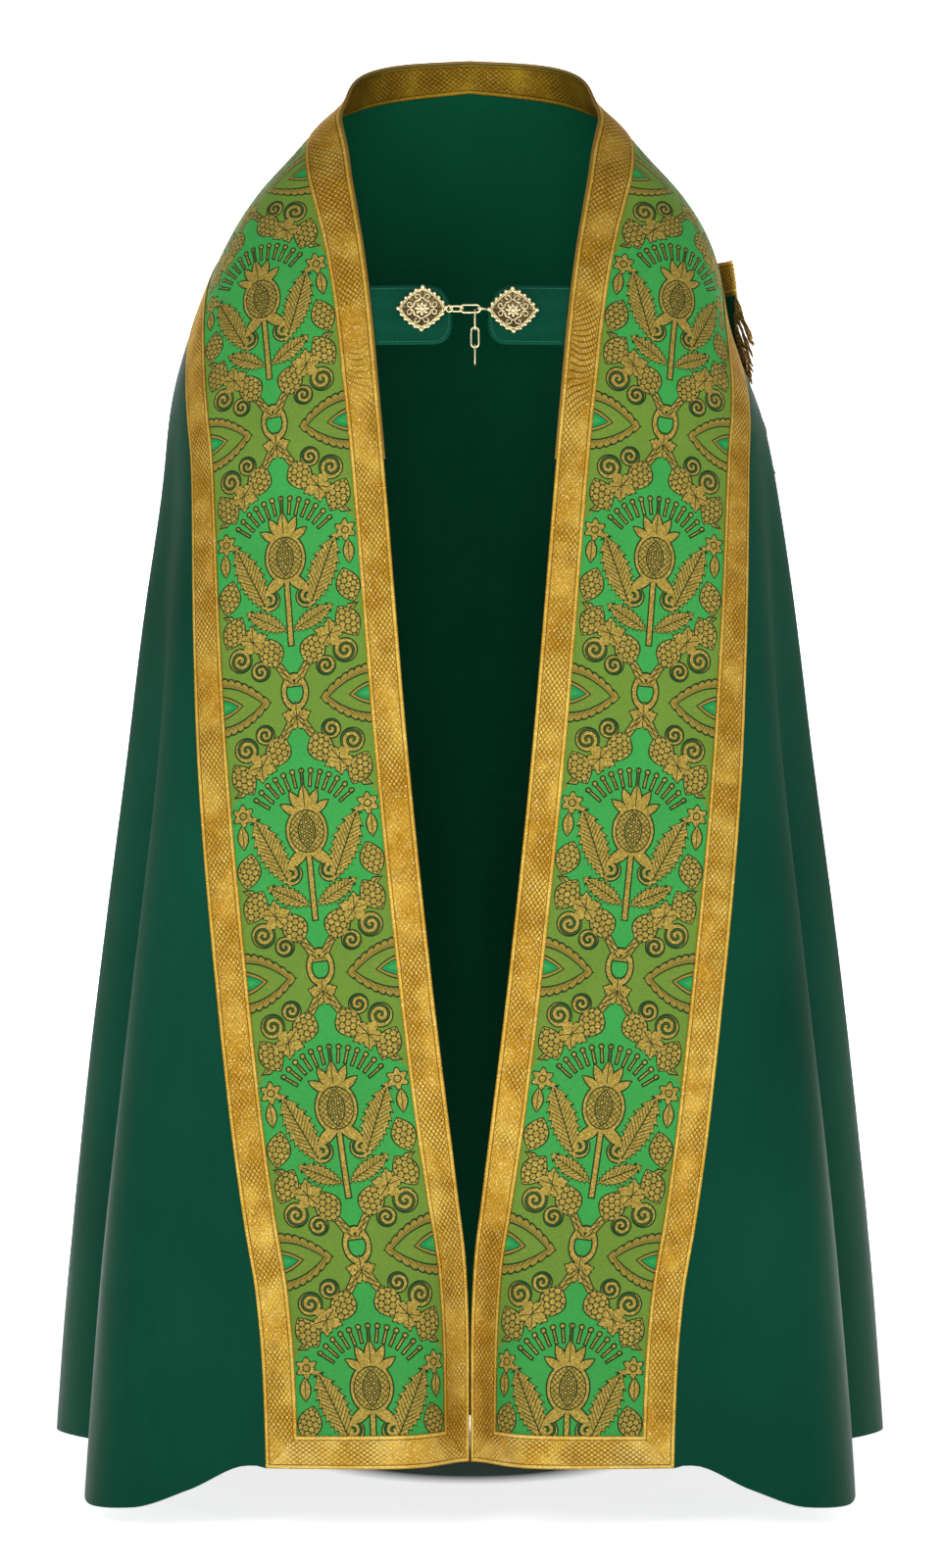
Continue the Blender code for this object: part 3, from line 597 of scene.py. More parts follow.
@dataclass
class Paint:
    """The colour and height of a cloth, built up layer by layer."""

    tree: bpy.types.NodeTree
    colour: object
    height: Value | float = 0.0

    def over(self, mask: Value, code: str, height: float = 0.0) -> "Paint":
        """Lay a colour over what is there.

        Args:
            mask: 1 where it shows.
            code: Its sRGB hex colour.
            height: How far it stands up, as a share of the bump's depth.

        Returns:
            This paint.
        """
        mix = add_node(self.tree, "ShaderNodeMix", {0: mask, 6: self.colour, 7: linear(code)},
                       data_type="RGBA")
        self.colour = mix.outputs[2]
        if height:
            self.height = mask * height + self.height
        return self

    def shaded(self, amount: Value) -> "Paint":
        """Make the colour brighter or darker by a factor."""
        flat = self.colour if isinstance(self.colour, bpy.types.NodeSocket) else self.colour[:3]
        mix = add_node(self.tree, "ShaderNodeVectorMath", {0: flat, 3: amount}, operation="SCALE")
        self.colour = mix.outputs[0]
        return self


@dataclass(frozen=True)
class Finish:
    """A finish: its material is made once and then shared."""

    name: str

    def surface(self, tree: bpy.types.NodeTree) -> tuple[dict, Value, float]:
        """What the surface shader is given: its inputs, its bump's height and the bump's depth in metres."""
        raise NotImplementedError

    def material(self) -> bpy.types.Material:
        """Make the material."""
        material = bpy.data.materials.new(self.name)
        material.use_nodes = True
        tree = material.node_tree
        shader = tree.nodes["Principled BSDF"]
        inputs, height, depth = self.surface(tree)
        bump = add_node(tree, "ShaderNodeBump", {"Height": height, "Strength": 1.0, "Distance": depth})
        set_inputs(tree, shader, {**inputs, "Normal": bump.outputs[0]})
        return material

    def place(self, tree: bpy.types.NodeTree) -> Point:
        """The cloth's own place, in millimetres across and along."""
        uv = add_node(tree, "ShaderNodeUVMap", {}, uv_map="cloth")
        parts = add_node(tree, "ShaderNodeSeparateXYZ", {0: uv.outputs[0]})
        return Point(Value(tree, parts.outputs[0]) * 1000.0, Value(tree, parts.outputs[1]) * 1000.0)

    def mottle(self, tree: bpy.types.NodeTree, scale: float, detail: float = 2.0,
               stretch: float = 1.0) -> Value:
        """Soft uneven patches in object space.

        Args:
            tree: The node tree.
            scale: Patches to a metre.
            detail: How much finer patches are added.
            stretch: How much longer the patches are downwards.

        Returns:
            A value round 0.5.
        """
        where = add_node(tree, "ShaderNodeTexCoord", {}).outputs["Object"]
        if stretch != 1.0:
            scales = (1.0, 1.0, 1 / stretch)
            where = add_node(tree, "ShaderNodeMapping", {"Vector": where, "Scale": scales}).outputs[0]
        made = add_node(tree, "ShaderNodeTexNoise", {"Vector": where, "Scale": scale, "Detail": detail})
        return Value(tree, made.outputs["Fac"])


@dataclass(frozen=True)
class Satin(Finish):
    """Smooth satin weave: a soft long shine down the folds and very fine threads."""

    colour: str = "0a3829"
    worn: str = "104735"
    roughness: float = 0.42
    sheen: float = 0.02

    def surface(self, tree: bpy.types.NodeTree) -> tuple[dict, Value, float]:
        """Dark dyed satin; its threads are drawn about three times too coarse, or they would not show."""
        place = self.place(tree)
        patches, streaks = self.mottle(tree, 4.0), self.mottle(tree, 120.0, 3.0, 7.0)
        paint = Paint(tree, linear(self.colour))
        paint.over(patches.ramp(1.6, -0.45), self.worn)
        paint.shaded(streaks * 0.16 + 0.92)
        weave = place.x.wave(1.3) * 0.5 + (place.x + place.y * 0.35).wave(2.1) * 0.3
        return {
            "Base Color": paint.colour, "Roughness": streaks * 0.16 + (self.roughness - 0.08),
            "Specular IOR Level": 0.2, "Specular Tint": linear("2f9a74"), "Sheen Weight": self.sheen,
            "Sheen Roughness": 0.4, "Sheen Tint": linear("2f9a74"), "Anisotropic": 0.5,
        }, weave + streaks * 2.0, 0.00006


@dataclass(frozen=True)
class Lining(Finish):
    """Plain dark lining, duller than the satin outside."""

    colour: str = "094730"

    def surface(self, tree: bpy.types.NodeTree) -> tuple[dict, Value, float]:
        """Dyed sateen with a faint ribbed weave."""
        place = self.place(tree)
        patches = self.mottle(tree, 9.0, 3.0)
        paint = Paint(tree, linear(self.colour)).shaded(patches * 0.3 + 0.85)
        weave = place.x.wave(1.6) + place.y.wave(1.6)
        return {
            "Base Color": paint.colour, "Roughness": patches * 0.1 + 0.62, "Specular IOR Level": 0.25,
            "Specular Tint": linear("3fae84"), "Sheen Weight": 0.05, "Sheen Tint": linear("2f8f6a"),
        }, weave, 0.00006


@dataclass(frozen=True)
class Brocade(Finish):
    """Woven orphrey cloth: bright and olive grounds with gold motifs outlined in dark green.

    The motifs are a traditional pomegranate with leaves and rosettes in each bright field, and vine leaves,
    berries, scrolls and pointed palmettes on the olive net round it.
    """

    repeat: float = 268.0
    start: float = 0.0
    bright: str = "349144"
    olive: str = "62802f"
    gold: str = "8c7630"
    glint: str = "c9ac58"
    outline: str = "062c1a"
    core: str = "12864a"

    def net(self, field: Point) -> Value:
        """Distance outside the bright field's curved edge, less than 0 inside it."""
        wave = (field.y * (2 * math.pi / self.repeat)).calc("COSINE")
        return abs(field.x) - wave * 42.5 - 43.5

    def pomegranate(self, p: Point) -> tuple[Value, Value]:
        """The fruit, its crown, its calyx and stem: the motif's distance and its inner lines."""
        fruit = p.moved(0, 6)
        body = fruit.oval(20, 24)
        seeds = fruit.leaf(18, 8.5)
        hatch = (fruit.x + fruit.y).wrapped(5.2).line(0.45).most(
            (fruit.x - fruit.y).wrapped(5.2).line(0.45))
        kernels = abs(fruit.berries(5.0) + 0.4).below(0.5) * seeds.below(-0.8)
        inner = (hatch * (1.0 - seeds.below(1.0)) * body.below(-3.4)).most(
            seeds.line(0.7), (body + 3.0).line(0.5), kernels)
        f = p.folded()
        crown = p.moved(0, 38).leaf(13, 5).least(
            f.moved(8, 35, -28).leaf(12, 4.2), f.moved(14, 28, -58).leaf(11, 3.8))
        ribs = p.x.line(0.45) * (1.0 - (p.y - 30).below(0.0))
        calyx = f.moved(11, -19, 52).leaf(15, 5.2)
        stem = (abs(p.x) - 2.1).most(abs(p.y + 49) - 31)
        return body.least(crown, calyx, stem), inner.most(ribs)

    def sprays(self, p: Point) -> tuple[Value, Value]:
        """The leaves, scrolls, berries and flowers each side of the fruit."""
        f = p.folded()
        big = f.moved(37, -10, -24)
        leaf = big.acanthus(38, 12.5, 7.5, 3.6)
        low = f.moved(24, -55, -62)
        under = low.acanthus(23, 8.0, 5.5, 2.6)
        scroll = f.moved(19, -34).scroll(8.5, 6.0, -1.0) - 1.5
        bloom = f.moved(62, 27)
        flower = bloom.rosette(8.4, 6, 1.9)
        bud = f.moved(64, 6).leaf(11, 4.6)
        bunch_at = f.moved(61, -27, 14)
        bunch = bunch_at.berries(6.0).most(bunch_at.leaf(17, 11))
        ribs = (big.y - abs(big.x) * 1.1).wrapped(4.6).line(0.5).most(big.x.line(0.6)) * leaf.below(-1.6)
        low_ribs = (low.y - abs(low.x)).wrapped(4.0).line(0.45).most(low.x.line(0.5)) * under.below(-1.2)
        rings = (bloom.length() - 3.4).line(0.55).most((f.x - 64).line(0.4) * bud.below(-1.0))
        return leaf.least(under, scroll, flower, bud, bunch), ribs.most(low_ribs, rings)

    def beams(self, p: Point) -> Value:
        """A fan of thin stamens over the crown, each with a dot."""
        around = p.moved(0, 6)
        reach, angle = around.length(), around.angle()
        spoke = angle.wrapped(math.radians(9.0)) * reach
        stem = (abs(spoke) - 0.6).most(abs(reach - 50) - 6)
        dot = Point(spoke, reach - 59).disc(1.7)
        return stem.least(dot).most((abs(angle) - 0.95) * 40)

    def vines(self, p: Point, edge: Value) -> tuple[Value, Value]:
        """Vine leaves, berries, scrolls and a striped ribbon along the field's edge."""
        f = p.folded()
        q = Point(f.x, abs(f.y))
        leaf_at = q.moved(39, 73, 38)
        leaf = leaf_at.vine_leaf(14)
        bunch_at = q.moved(21, 86, 20)
        bunch = bunch_at.berries(6.2).most(bunch_at.leaf(16, 12))
        second = q.moved(58, 62, -30)
        grapes = second.berries(6.2).most(second.leaf(17, 11))
        scroll = q.moved(53, 90).scroll(9.5, 6.4, 1.0) - 1.6
        small = q.moved(33, 103).scroll(7.5, 5.6, -1.0) - 1.3
        ribbon = (abs(edge) - 3.8).most(46 - q.y, q.y - 120)
        side_veins = (abs(leaf_at.x) - abs(leaf_at.y) * 0.8).line(0.5)
        veins = leaf_at.x.line(0.5).most(side_veins) * leaf.below(-2.2)
        free = (1.0 - bunch.least(grapes, leaf).below(0.3)) * ribbon.below(-0.6)
        stripes = (q.y + q.x * 0.7).wrapped(4.4).line(0.55).most(edge.line(0.4)) * free
        # The ribbon passes under the leaves and berries: their own edge cuts it.
        over = leaf.least(bunch, grapes)
        ribbon = ribbon.most(1.2 - over)
        return over.least(scroll, small, ribbon), veins.most(stripes)

    def palmettes(self, paint: Paint, cross: Point) -> None:
        """Palmettes on the olive, point to the middle: a gold rim, an olive step and a bright heart.

        Args:
            paint: What they are painted on.
            cross: The place, seen from where two bright fields meet.
        """
        palm = cross.folded().moved(78, 0, 90)
        arch = palm.leaf(50, 25)
        heart = palm.moved(0, -4).leaf(27, 11)
        fan = (palm.angle() * 9).calc("COSINE").line(0.22) * (abs(heart - 5.5).below(2.5))
        rim = arch.least(Point(abs(arch), palm.y.wrapped(7.0)).disc(3.2))
        paint.over(rim.below(1.7), self.outline).over(rim.below(0.0), self.gold, 0.6)
        paint.over((palm.y - palm.x).wrapped(3.4).line(0.45) * abs(arch + 2.6).below(1.5), self.outline)
        paint.over(arch.below(-4.4), self.outline, -0.6).over(arch.below(-6.0), self.olive)
        paint.over(fan * arch.below(-8.0), self.gold, 0.3)
        paint.over(heart.below(1.9), self.outline).over(heart.below(0.4), self.gold, 0.5)
        paint.over(heart.below(-2.0), self.outline, -0.5).over(heart.below(-3.0), self.core)
        paint.over((heart + 6.5).below(0.0), self.bright)

    def figures(self, field: Point, cross: Point, edge: Value) -> tuple[Value, Value]:
        """All the gold figures: the motif's distance and its inner lines.

        Args:
            field: The place, seen from the middle of a bright field.
            cross: The place, seen from where two bright fields meet.
            edge: Distance outside the bright field.

        Returns:
            The distance outside the gold, and 1 on the lines drawn in it.
        """
        loop = abs(cross.moved(0, 8).oval(11, 15)) - 1.9
        knot = cross.moved(0, -17).vine_leaf(13)
        knot_veins = (abs(cross.x) - abs(cross.y + 17) * 0.7).line(0.5) * knot.below(-2.0)
        (fruit, fruit_lines), (spray, spray_lines), (vine, vine_lines) = (
            self.pomegranate(field), self.sprays(field), self.vines(field, edge))
        return (fruit.least(spray, vine, self.beams(field), loop, knot),
                fruit_lines.most(spray_lines, vine_lines, knot_veins))

    def surface(self, tree: bpy.types.NodeTree) -> tuple[dict, Value, float]:
        """Silk-like twilled ground with raised metal-thread figures, which have weft ribs."""
        place = self.place(tree)
        x = place.x - ORPHREY_WIDTH * 500.0
        field = Point(x, -1.0 * place.y.wrapped(self.repeat, self.start))
        cross = Point(x, -1.0 * place.y.wrapped(self.repeat, self.start + self.repeat / 2))
        edge = self.net(field)
        threads, patches = self.mottle(tree, 500.0), self.mottle(tree, 14.0)
        paint = Paint(tree, linear(self.bright)).over(1.0 - edge.below(0.0), self.olive)
        self.palmettes(paint, cross)
        paint.over(cross.moved(0, 8).oval(11, 15).below(), self.bright)
        gold, inner = self.figures(field, cross, edge)
        solid = gold.below(0.0)
        paint.over(gold.below(1.45), self.outline).over(solid, self.gold, 0.8)
        glints = (threads + (place.y + place.x * 0.5).wave(2.2) * 0.12).ramp(4.0, -1.75)
        paint.over(glints * solid * 0.75, self.glint).over(inner * solid, self.outline, -0.5)
        ribs = place.y.wave(1.7) * 0.5 + (place.x + place.y).wave(1.4) * 0.25
        paint.shaded(threads * 0.5 + patches * 0.2 + 0.66)
        return {
            "Base Color": paint.colour, "Metallic": solid * 0.4, "Roughness": threads * 0.2 + 0.42,
            "Specular IOR Level": 0.3, "Specular Tint": linear("b8e08a"), "Sheen Weight": 0.05,
            "Sheen Tint": linear("9fe0a0"),
        }, paint.height + ribs * 0.22 + threads * 0.5, 0.00022


@dataclass(frozen=True)
class Galloon(Finish):
    """Gold braid, 32 mm wide: stitched borders and a net of small lozenges, rubbed faint in places."""

    gold: str = "b98a22"
    light: str = "e8c65a"
    dark: str = "5f3d0c"
    pitch: float = 6.2
    # how strongly the bright specks, which are painted glints, are laid on
    painted_glints: float = 1.0

    def surface(self, tree: bpy.types.NodeTree) -> tuple[dict, Value, float]:
        """Woven metal thread: a bright broken shine, painted in as lighter and darker patches and specks,
        darker between the lozenges.
        """
        place = self.place(tree)
        x = place.x - GALLOON_WIDTH * 500.0
        centre = abs(x)
        threads, patches = self.mottle(tree, 420.0), self.mottle(tree, 30.0, 3.0)
        sparkle = self.mottle(tree, 760.0, 1.0)
        rubbed = self.mottle(tree, 20.0).ramp(7.0, -3.2)
        slant = x * 1.4
        lozenges = (slant + place.y).wrapped(self.pitch).line(0.7, 0.8).most(
            (slant - place.y).wrapped(self.pitch).line(0.7, 0.8))
        net = lozenges * centre.below(11.2, 0.6) * (1.0 - rubbed * 0.7)
        border = (centre - 12.0).line(0.55, 0.5)
        stitches = place.y.wrapped(2.6).line(0.8, 0.6) * (centre - 14.1).line(0.7, 0.6)
        rim = 1.0 - centre.below(15.2, 0.5)
        paint = Paint(tree, linear(self.gold))
        # Lighter patches, darker patches, dark specks and bright specks: painted highlights, painted shade
        # and painted glints of the metal's shine.
        paint.over(patches.ramp(3.0, -1.2) * 0.7, self.light)
        paint.over(self.mottle(tree, 55.0).ramp(4.0, -2.1) * 0.25, self.dark)
        paint.over(sparkle.ramp(-6.0, 2.45) * 0.6, self.dark)
        paint.over(sparkle.ramp(6.0, -3.55) * (0.9 * self.painted_glints), "fff0b0")
        paint.over(net * 0.95, self.dark).over(border * 0.8, self.dark)
        paint.over(stitches * 0.5, self.light).over(rim * 0.6, self.dark)
        paint.shaded(threads * 0.5 + 0.75)
        height = (1.0 - net) * 0.6 + stitches * 0.5 - border * 0.6 + place.x.wave(1.2) * 0.2 + sparkle
        return {
            "Base Color": paint.colour, "Metallic": 0.5, "Roughness": threads * 0.3 + 0.30,
            "Specular IOR Level": 0.4, "Specular Tint": linear("ffd878"),
        }, height + threads * 0.5, 0.0003


@dataclass(frozen=True)
class Bullion(Finish):
    """Twisted metal cord, with dark brown painted shade in the grooves."""

    gold: str = "b8893f"
    light: str = "f0cf86"
    dark: str = "472b10"

    def surface(self, tree: bpy.types.NodeTree) -> tuple[dict, Value, float]:
        """Metal thread wound round a core: slanted turns with a painted highlight on each and painted shade
        in the grooves between them.
        """
        where = add_node(tree, "ShaderNodeTexCoord", {}).outputs["Object"]
        parts = add_node(tree, "ShaderNodeSeparateXYZ", {0: where})
        x, y, z = (Value(tree, parts.outputs[k]) * 1000.0 for k in range(3))
        turns = (z + x * 0.8 - y * 0.8).wave(3.0)
        patches = self.mottle(tree, 90.0)
        # Painted highlight along each turn, painted shade in the grooves between the turns.
        paint = Paint(tree, linear(self.gold)).over(turns.ramp(0.7, 0.1), self.light)
        paint.over((turns + 0.45).below(0.0, 0.5), self.dark).shaded(patches * 0.7 + 0.6)
        return {
            "Base Color": paint.colour, "Metallic": 0.6, "Roughness": patches * 0.3 + 0.28,
        }, turns + patches * 0.4, 0.0005


@dataclass(frozen=True)
class Gilt(Finish):
    """Cast metal with a pale gold wash, dark where dirt and tarnish sit."""

    gold: str = "efdfb2"
    dark: str = "6b5629"

    def surface(self, tree: bpy.types.NodeTree) -> tuple[dict, Value, float]:
        """Gilded casting: bright on what stands up, dull and brown in the hollows."""
        hammer, fine = self.mottle(tree, 420.0), self.mottle(tree, 60.0, 3.0)
        marked = add_node(tree, "ShaderNodeAttribute", {}, attribute_name="hollow")
        hollow = Value(tree, marked.outputs["Fac"])
        paint = Paint(tree, linear(self.gold)).shaded(fine * 0.4 + 0.8).over(hollow, self.dark)
        return {
            "Base Color": paint.colour, "Metallic": 1.0, "Roughness": hammer * 0.3 + hollow * 0.3 + 0.15,
        }, hammer, 0.0004


@dataclass(frozen=True)
class Thread(Finish):
    """Sewing thread and piping cord."""

    colour: str = "8a6a24"
    metal: float = 0.3

    def surface(self, tree: bpy.types.NodeTree) -> tuple[dict, Value, float]:
        """Twisted thread, its turns too fine to see but for a rough shine."""
        fine = self.mottle(tree, 700.0)
        paint = Paint(tree, linear(self.colour)).shaded(fine * 0.6 + 0.7)
        return {
            "Base Color": paint.colour, "Metallic": self.metal, "Roughness": fine * 0.3 + 0.4,
        }, fine, 0.0003


# ---- shapes --------------------------------------------------------------------------------------
def add_object(name: str, form: bmesh.types.BMesh, materials: list[bpy.types.Material]) -> bpy.types.Object:
    """Turn a bmesh into a smooth shaded object at the origin.

    Args:
        name: The object's name.
        form: The bmesh, which is freed.
        materials: Its materials in order.

    Returns:
        The object.
    """
    mesh = bpy.data.meshes.new(name)
    form.to_mesh(mesh)
    form.free()
    mesh.polygons.foreach_set("use_smooth", [True] * len(mesh.polygons))
    for material in materials:
        mesh.materials.append(material)
    made = bpy.data.objects.new(name, mesh)
    bpy.context.scene.collection.objects.link(made)
    return made


def cloth_area(points: np.ndarray) -> float:
    """Area of a grid of points, in square metres."""
    across, down = np.diff(points[:-1], axis=1), np.diff(points[:, :-1], axis=0)
    return float(np.linalg.norm(np.cross(across, down), axis=-1).sum())


def measured(points: np.ndarray) -> np.ndarray:
    """How far each point of a grid lies across and along the cloth."""
    return np.stack([run_along(points, axis=1), run_along(points, axis=0)], axis=-1)


def dress(piece: bpy.types.Object, node: str | None = None,
          body: str = "cope") -> bpy.types.Object:
    """Put a piece on its body, and hide the part's node that it stands for.

    Args:
        piece: The piece.
        node: The node of the part that it stands for, if it stands for one.
        body: The body that it rides on.

    Returns:
        The piece.
    """
    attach(piece, body)
    if node is not None:
        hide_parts(node)
    return piece


@dataclass
class ClothSheet:
    """A sheet of cloth laid on a grid of points of its outer face."""

    name: str
    points: np.ndarray
    measures: np.ndarray
    thick: float
    facing: np.ndarray
    materials: list[bpy.types.Material]
    crisp_angle: float = math.radians(50)

    def build(self) -> bpy.types.Object:
        """Move a flat grid onto the points, map it in metres and give it its thickness inwards."""
        rows, columns = self.points.shape[:2]
        form = bmesh.new()
        bmesh.ops.create_grid(form, x_segments=columns - 1, y_segments=rows - 1, size=0.5)
        for vert, point in zip(form.verts, self.points.reshape(-1, 3)):
            vert.co = point
        uv = form.loops.layers.uv.new("cloth")
        measures = self.measures.reshape(-1, 2)
        for face in form.faces:
            for loop in face.loops:
                loop[uv].uv = measures[loop.vert.index]
        form.faces.ensure_lookup_table()
        first = form.faces[0]
        first.normal_update()
        if first.normal.dot(Vector(self.facing)) < 0:
            bmesh.ops.reverse_faces(form, faces=form.faces)
        made = add_object(self.name, form, self.materials)
        wall = made.modifiers.new("thickness", "SOLIDIFY")
        wall.thickness = self.thick
        wall.offset = -1.0
        wall.use_even_offset = False
        if len(self.materials) > 1:
            wall.material_offset = 1
            wall.material_offset_rim = 2
        crisp = made.modifiers.new("crisp_edges", "EDGE_SPLIT")
        crisp.split_angle = self.crisp_angle
        return made


@dataclass
class Tube:
    """Round cords along lines of points, made as one bevelled curve and kept as a mesh."""

    name: str
    lines: list[np.ndarray]
    radius: float
    material: bpy.types.Material
    closed: bool = False
    sides: int = 1
    taper: list[np.ndarray] | None = None

    def build(self) -> bpy.types.Object:
        """Bevel the curve and turn it into a mesh."""
        curve = bpy.data.curves.new(self.name, "CURVE")
        curve.dimensions = "3D"
        curve.bevel_depth = self.radius
        curve.bevel_resolution = self.sides
        curve.use_fill_caps = not self.closed
        for number, line in enumerate(self.lines):
            spline = curve.splines.new("POLY")
            spline.points.add(len(line) - 1)
            spline.points.foreach_set("co", np.column_stack([line, np.ones(len(line))]).ravel())
            if self.taper is not None:
                spline.points.foreach_set("radius", self.taper[number])
            spline.use_cyclic_u = self.closed
        holder = bpy.data.objects.new(self.name, curve)
        bpy.context.scene.collection.objects.link(holder)
        shaped = holder.evaluated_get(bpy.context.evaluated_depsgraph_get())
        mesh = bpy.data.meshes.new_from_object(shaped)
        bpy.data.objects.remove(holder, do_unlink=True)
        bpy.data.curves.remove(curve)
        form = bmesh.new()
        form.from_mesh(mesh)
        bpy.data.meshes.remove(mesh)
        bmesh.ops.remove_doubles(form, verts=form.verts, dist=1e-6)
        bmesh.ops.recalc_face_normals(form, faces=form.faces)
        return add_object(self.name, form, [self.material])


@dataclass
class Wardrobe:
    """The materials, made once."""

    satin: bpy.types.Material
    lining: bpy.types.Material
    brocade: bpy.types.Material
    galloon: bpy.types.Material
    neck_galloon: bpy.types.Material
    foot_galloon: bpy.types.Material
    bullion: bpy.types.Material
    gilt: bpy.types.Material
    thread: bpy.types.Material
    green_thread: bpy.types.Material
    tab: bpy.types.Material


# ---- the cloak -----------------------------------------------------------------------------------
@dataclass
class Cloak:
    """The cloth pieces that lie on the worn form."""

    form: WornForm
    finishes: Wardrobe
    body_grid: tuple[int, int] = (256, 130)
    band_grid: tuple[int, int] = (319, 27)
    braid_columns: int = 9
    foot_columns: int = 41
    band_edge: float = 0.0005       # the brocade starts this far in from the straight edge
    braid_lift: float = 0.00002     # gap between the brocade and the galloon on it
    braid_edge: float = 0.0004      # the outer galloon ends this far inside the brocade's edge
    mitre_gap: float = 0.0001
    neck_reach: float = 0.187       # the galloon inside the neck runs this far from the centre back
    neck_rows: int = 48
    neck_edge: float = 0.0022       # and starts this far below the neck's edge
    neck_gap: float = 0.0004
    piping_reach: float = 0.62      # the corded edge runs this far from the centre back
    piping_points: int = 220
    piping: float = 0.0017
    ripple_height: float = 0.0012
    ripple_scale: tuple[float, float, float] = (9.0, 9.0, 4.5)
    rows: np.ndarray = field(init=False)

    def __post_init__(self) -> None:
        """Space the band's rows along the straight edge."""
        self.rows = np.linspace(0.0, self.form.half_edge, self.band_grid[0])

    def ripple(self, points: np.ndarray) -> np.ndarray:
        """Small uneven waves that every layer shares, so that they never cross."""
        out = [noise.noise(Vector(point)) for point in points.reshape(-1, 3) * self.ripple_scale]
        return np.array(out).reshape(points.shape[:-1]) * self.ripple_height

    def laid(self, places: np.ndarray, lift: float) -> np.ndarray:
        """Points at a lift over the form, with the ripple."""
        base = self.form.cloth(places)
        return base + self.form.outward(places) * (self.ripple(base) + lift)[..., None]

    def lay(self, name: str, places: np.ndarray, lift: float, thick: float, measures: np.ndarray | None,
            materials: list[bpy.types.Material]) -> tuple[bpy.types.Object, np.ndarray]:
        """Lay a sheet of cloth on the form.

        Args:
            name: Its name.
            places: Turns and heights of its points.
            lift: Height of its inner face over the form.
            thick: Its thickness.
            measures: Each point's place across and along the cloth, or None to measure them on the sheet.
            materials: Outside, inside and rim, or one for all three.

        Returns:
            The piece and the points of its outer face.
        """
        points = self.laid(places, lift + thick)
        measures = measured(points) if measures is None else measures
        facing = self.form.outward(places[:1, :1])[0, 0]
        return ClothSheet(name, points, measures, thick, facing, materials).build(), points

    def line_run(self, across: float) -> np.ndarray:
        """How far each row lies along one line of the band."""
        return run_along(self.form.cloth(self.form.band_places(self.rows, np.array([across]))[:, 0]))

    def add_body(self) -> None:
        """The satin cloak, from the outer edges of the bands to the hem."""
        f = self.finishes
        made, points = self.lay("cloak", self.form.body_places(*self.body_grid), 0.0, CLOTH, None,
                                [f.satin, f.lining, f.satin])
        dress(made, "cope_body")

    def add_band(self, side: Side) -> None:
        """The brocade band and its galloons on one half."""
        f, name, half = self.finishes, side.value, self.form.half_edge
        across = np.linspace(self.band_edge, ORPHREY_WIDTH, self.band_grid[1])
        places = on(side, self.form.band_places(self.rows, across))
        measures = np.stack(np.meshgrid(across, self.line_run(ORPHREY_WIDTH / 2)), axis=-1)
        band, points = self.lay(f"brocade_{name}", places, 0.0, CLOTH, measures,
                                [f.brocade, f.lining, f.galloon])
        dress(band, f"orphrey_{name}")
        for part, start, trim in (("inner", 0.0, 0.0),
                                  ("outer", ORPHREY_WIDTH - GALLOON_WIDTH, self.braid_edge)):
            across = np.linspace(0.0, GALLOON_WIDTH - trim, self.braid_columns)
            ends = half - (across if part == "inner" else GALLOON_WIDTH - across)
            along = np.linspace(0.0, 1.0, self.band_grid[0])[:, None] * ends
            across = across + 0 * along
            run = np.interp(along, self.rows, self.line_run(start + GALLOON_WIDTH / 2))
            self.add_braid(part, side, across + start, along, np.stack([across, run], axis=-1), f.galloon)
        down = np.linspace(0.0, GALLOON_WIDTH, self.braid_columns)[:, None]
        inset = GALLOON_WIDTH - down + self.mitre_gap
        share = np.linspace(0.0, 1.0, self.foot_columns)
        across = inset + share * (ORPHREY_WIDTH - self.braid_edge - 2 * inset)
        down = down + 0 * across
        self.add_braid("foot", side, across, half - GALLOON_WIDTH + down,
                       np.stack([down, across], axis=-1), f.foot_galloon)

    def add_braid(self, part: str, side: Side, across: np.ndarray, along: np.ndarray, measures: np.ndarray,
                  finish: bpy.types.Material) -> None:
        """A galloon on the brocade, its ends cut slanting.

        Args:
            part: Which galloon of the band it is.
            side: Which half it is on.
            across: Each point's distance from the straight edge.
            along: Each point's distance from the centre back.
            measures: Each point's place across and along the braid.
            finish: Its material.
        """
        columns = [self.form.band_line(*column) for column in zip(along.T, across.T)]
        braid, points = self.lay(f"braid_{part}_{side.value}", on(side, np.stack(columns, axis=1)),
                                 CLOTH + self.braid_lift, GALLOON_CLOTH, measures, [finish])
        self.dress_braid(braid, f"galloon_{part}_{side.value}", points, f"brocade_{side.value}")

    @staticmethod
    def dress_braid(braid: bpy.types.Object, node: str, points: np.ndarray, under: str) -> None:
        """Put a galloon on its body, and hide the part's node that it stands for."""
        dress(braid, node)

    def round_neck(self, reach: float, count: int, across: np.ndarray) -> tuple[np.ndarray, np.ndarray]:
        """Places round the back neck, from one shoulder to the other.

        Args:
            reach: How far they run each way from the centre back.
            count: Rows in each half.
            across: Distances from the straight edge.

        Returns:
            Turns and heights, and each row's distance along from the centre back.
        """
        rows = np.linspace(0.0, reach, count)
        half = self.form.band_places(rows, across)
        return np.concatenate([mirrored(half)[:0:-1], half]), np.concatenate([-rows[:0:-1], rows])

    def add_neck_braid(self) -> None:
        """The galloon inside the back neck, which faces inwards."""
        across = np.linspace(self.neck_edge, GALLOON_WIDTH, self.braid_columns)
        places, run = self.round_neck(self.neck_reach, self.neck_rows, across)
        inward = -self.form.outward(places)
        points = self.laid(places, -self.neck_gap) + inward * GALLOON_CLOTH
        measures = np.stack(np.meshgrid(across, run), axis=-1)
        made = ClothSheet("braid_neck_inside", points, measures, GALLOON_CLOTH, inward[0, 0],
                          [self.finishes.neck_galloon]).build()
        dress(made, "galloon_neck_inside")

    def add_piping(self) -> None:
        """The corded edge round the back neck."""
        places, _ = self.round_neck(self.piping_reach, self.piping_points, np.array([0.0]))
        line = self.laid(places[:, 0], CLOTH / 2)
        cord = Tube("neck_piping", [line], self.piping, self.finishes.thread, sides=2).build()
        dress(cord)


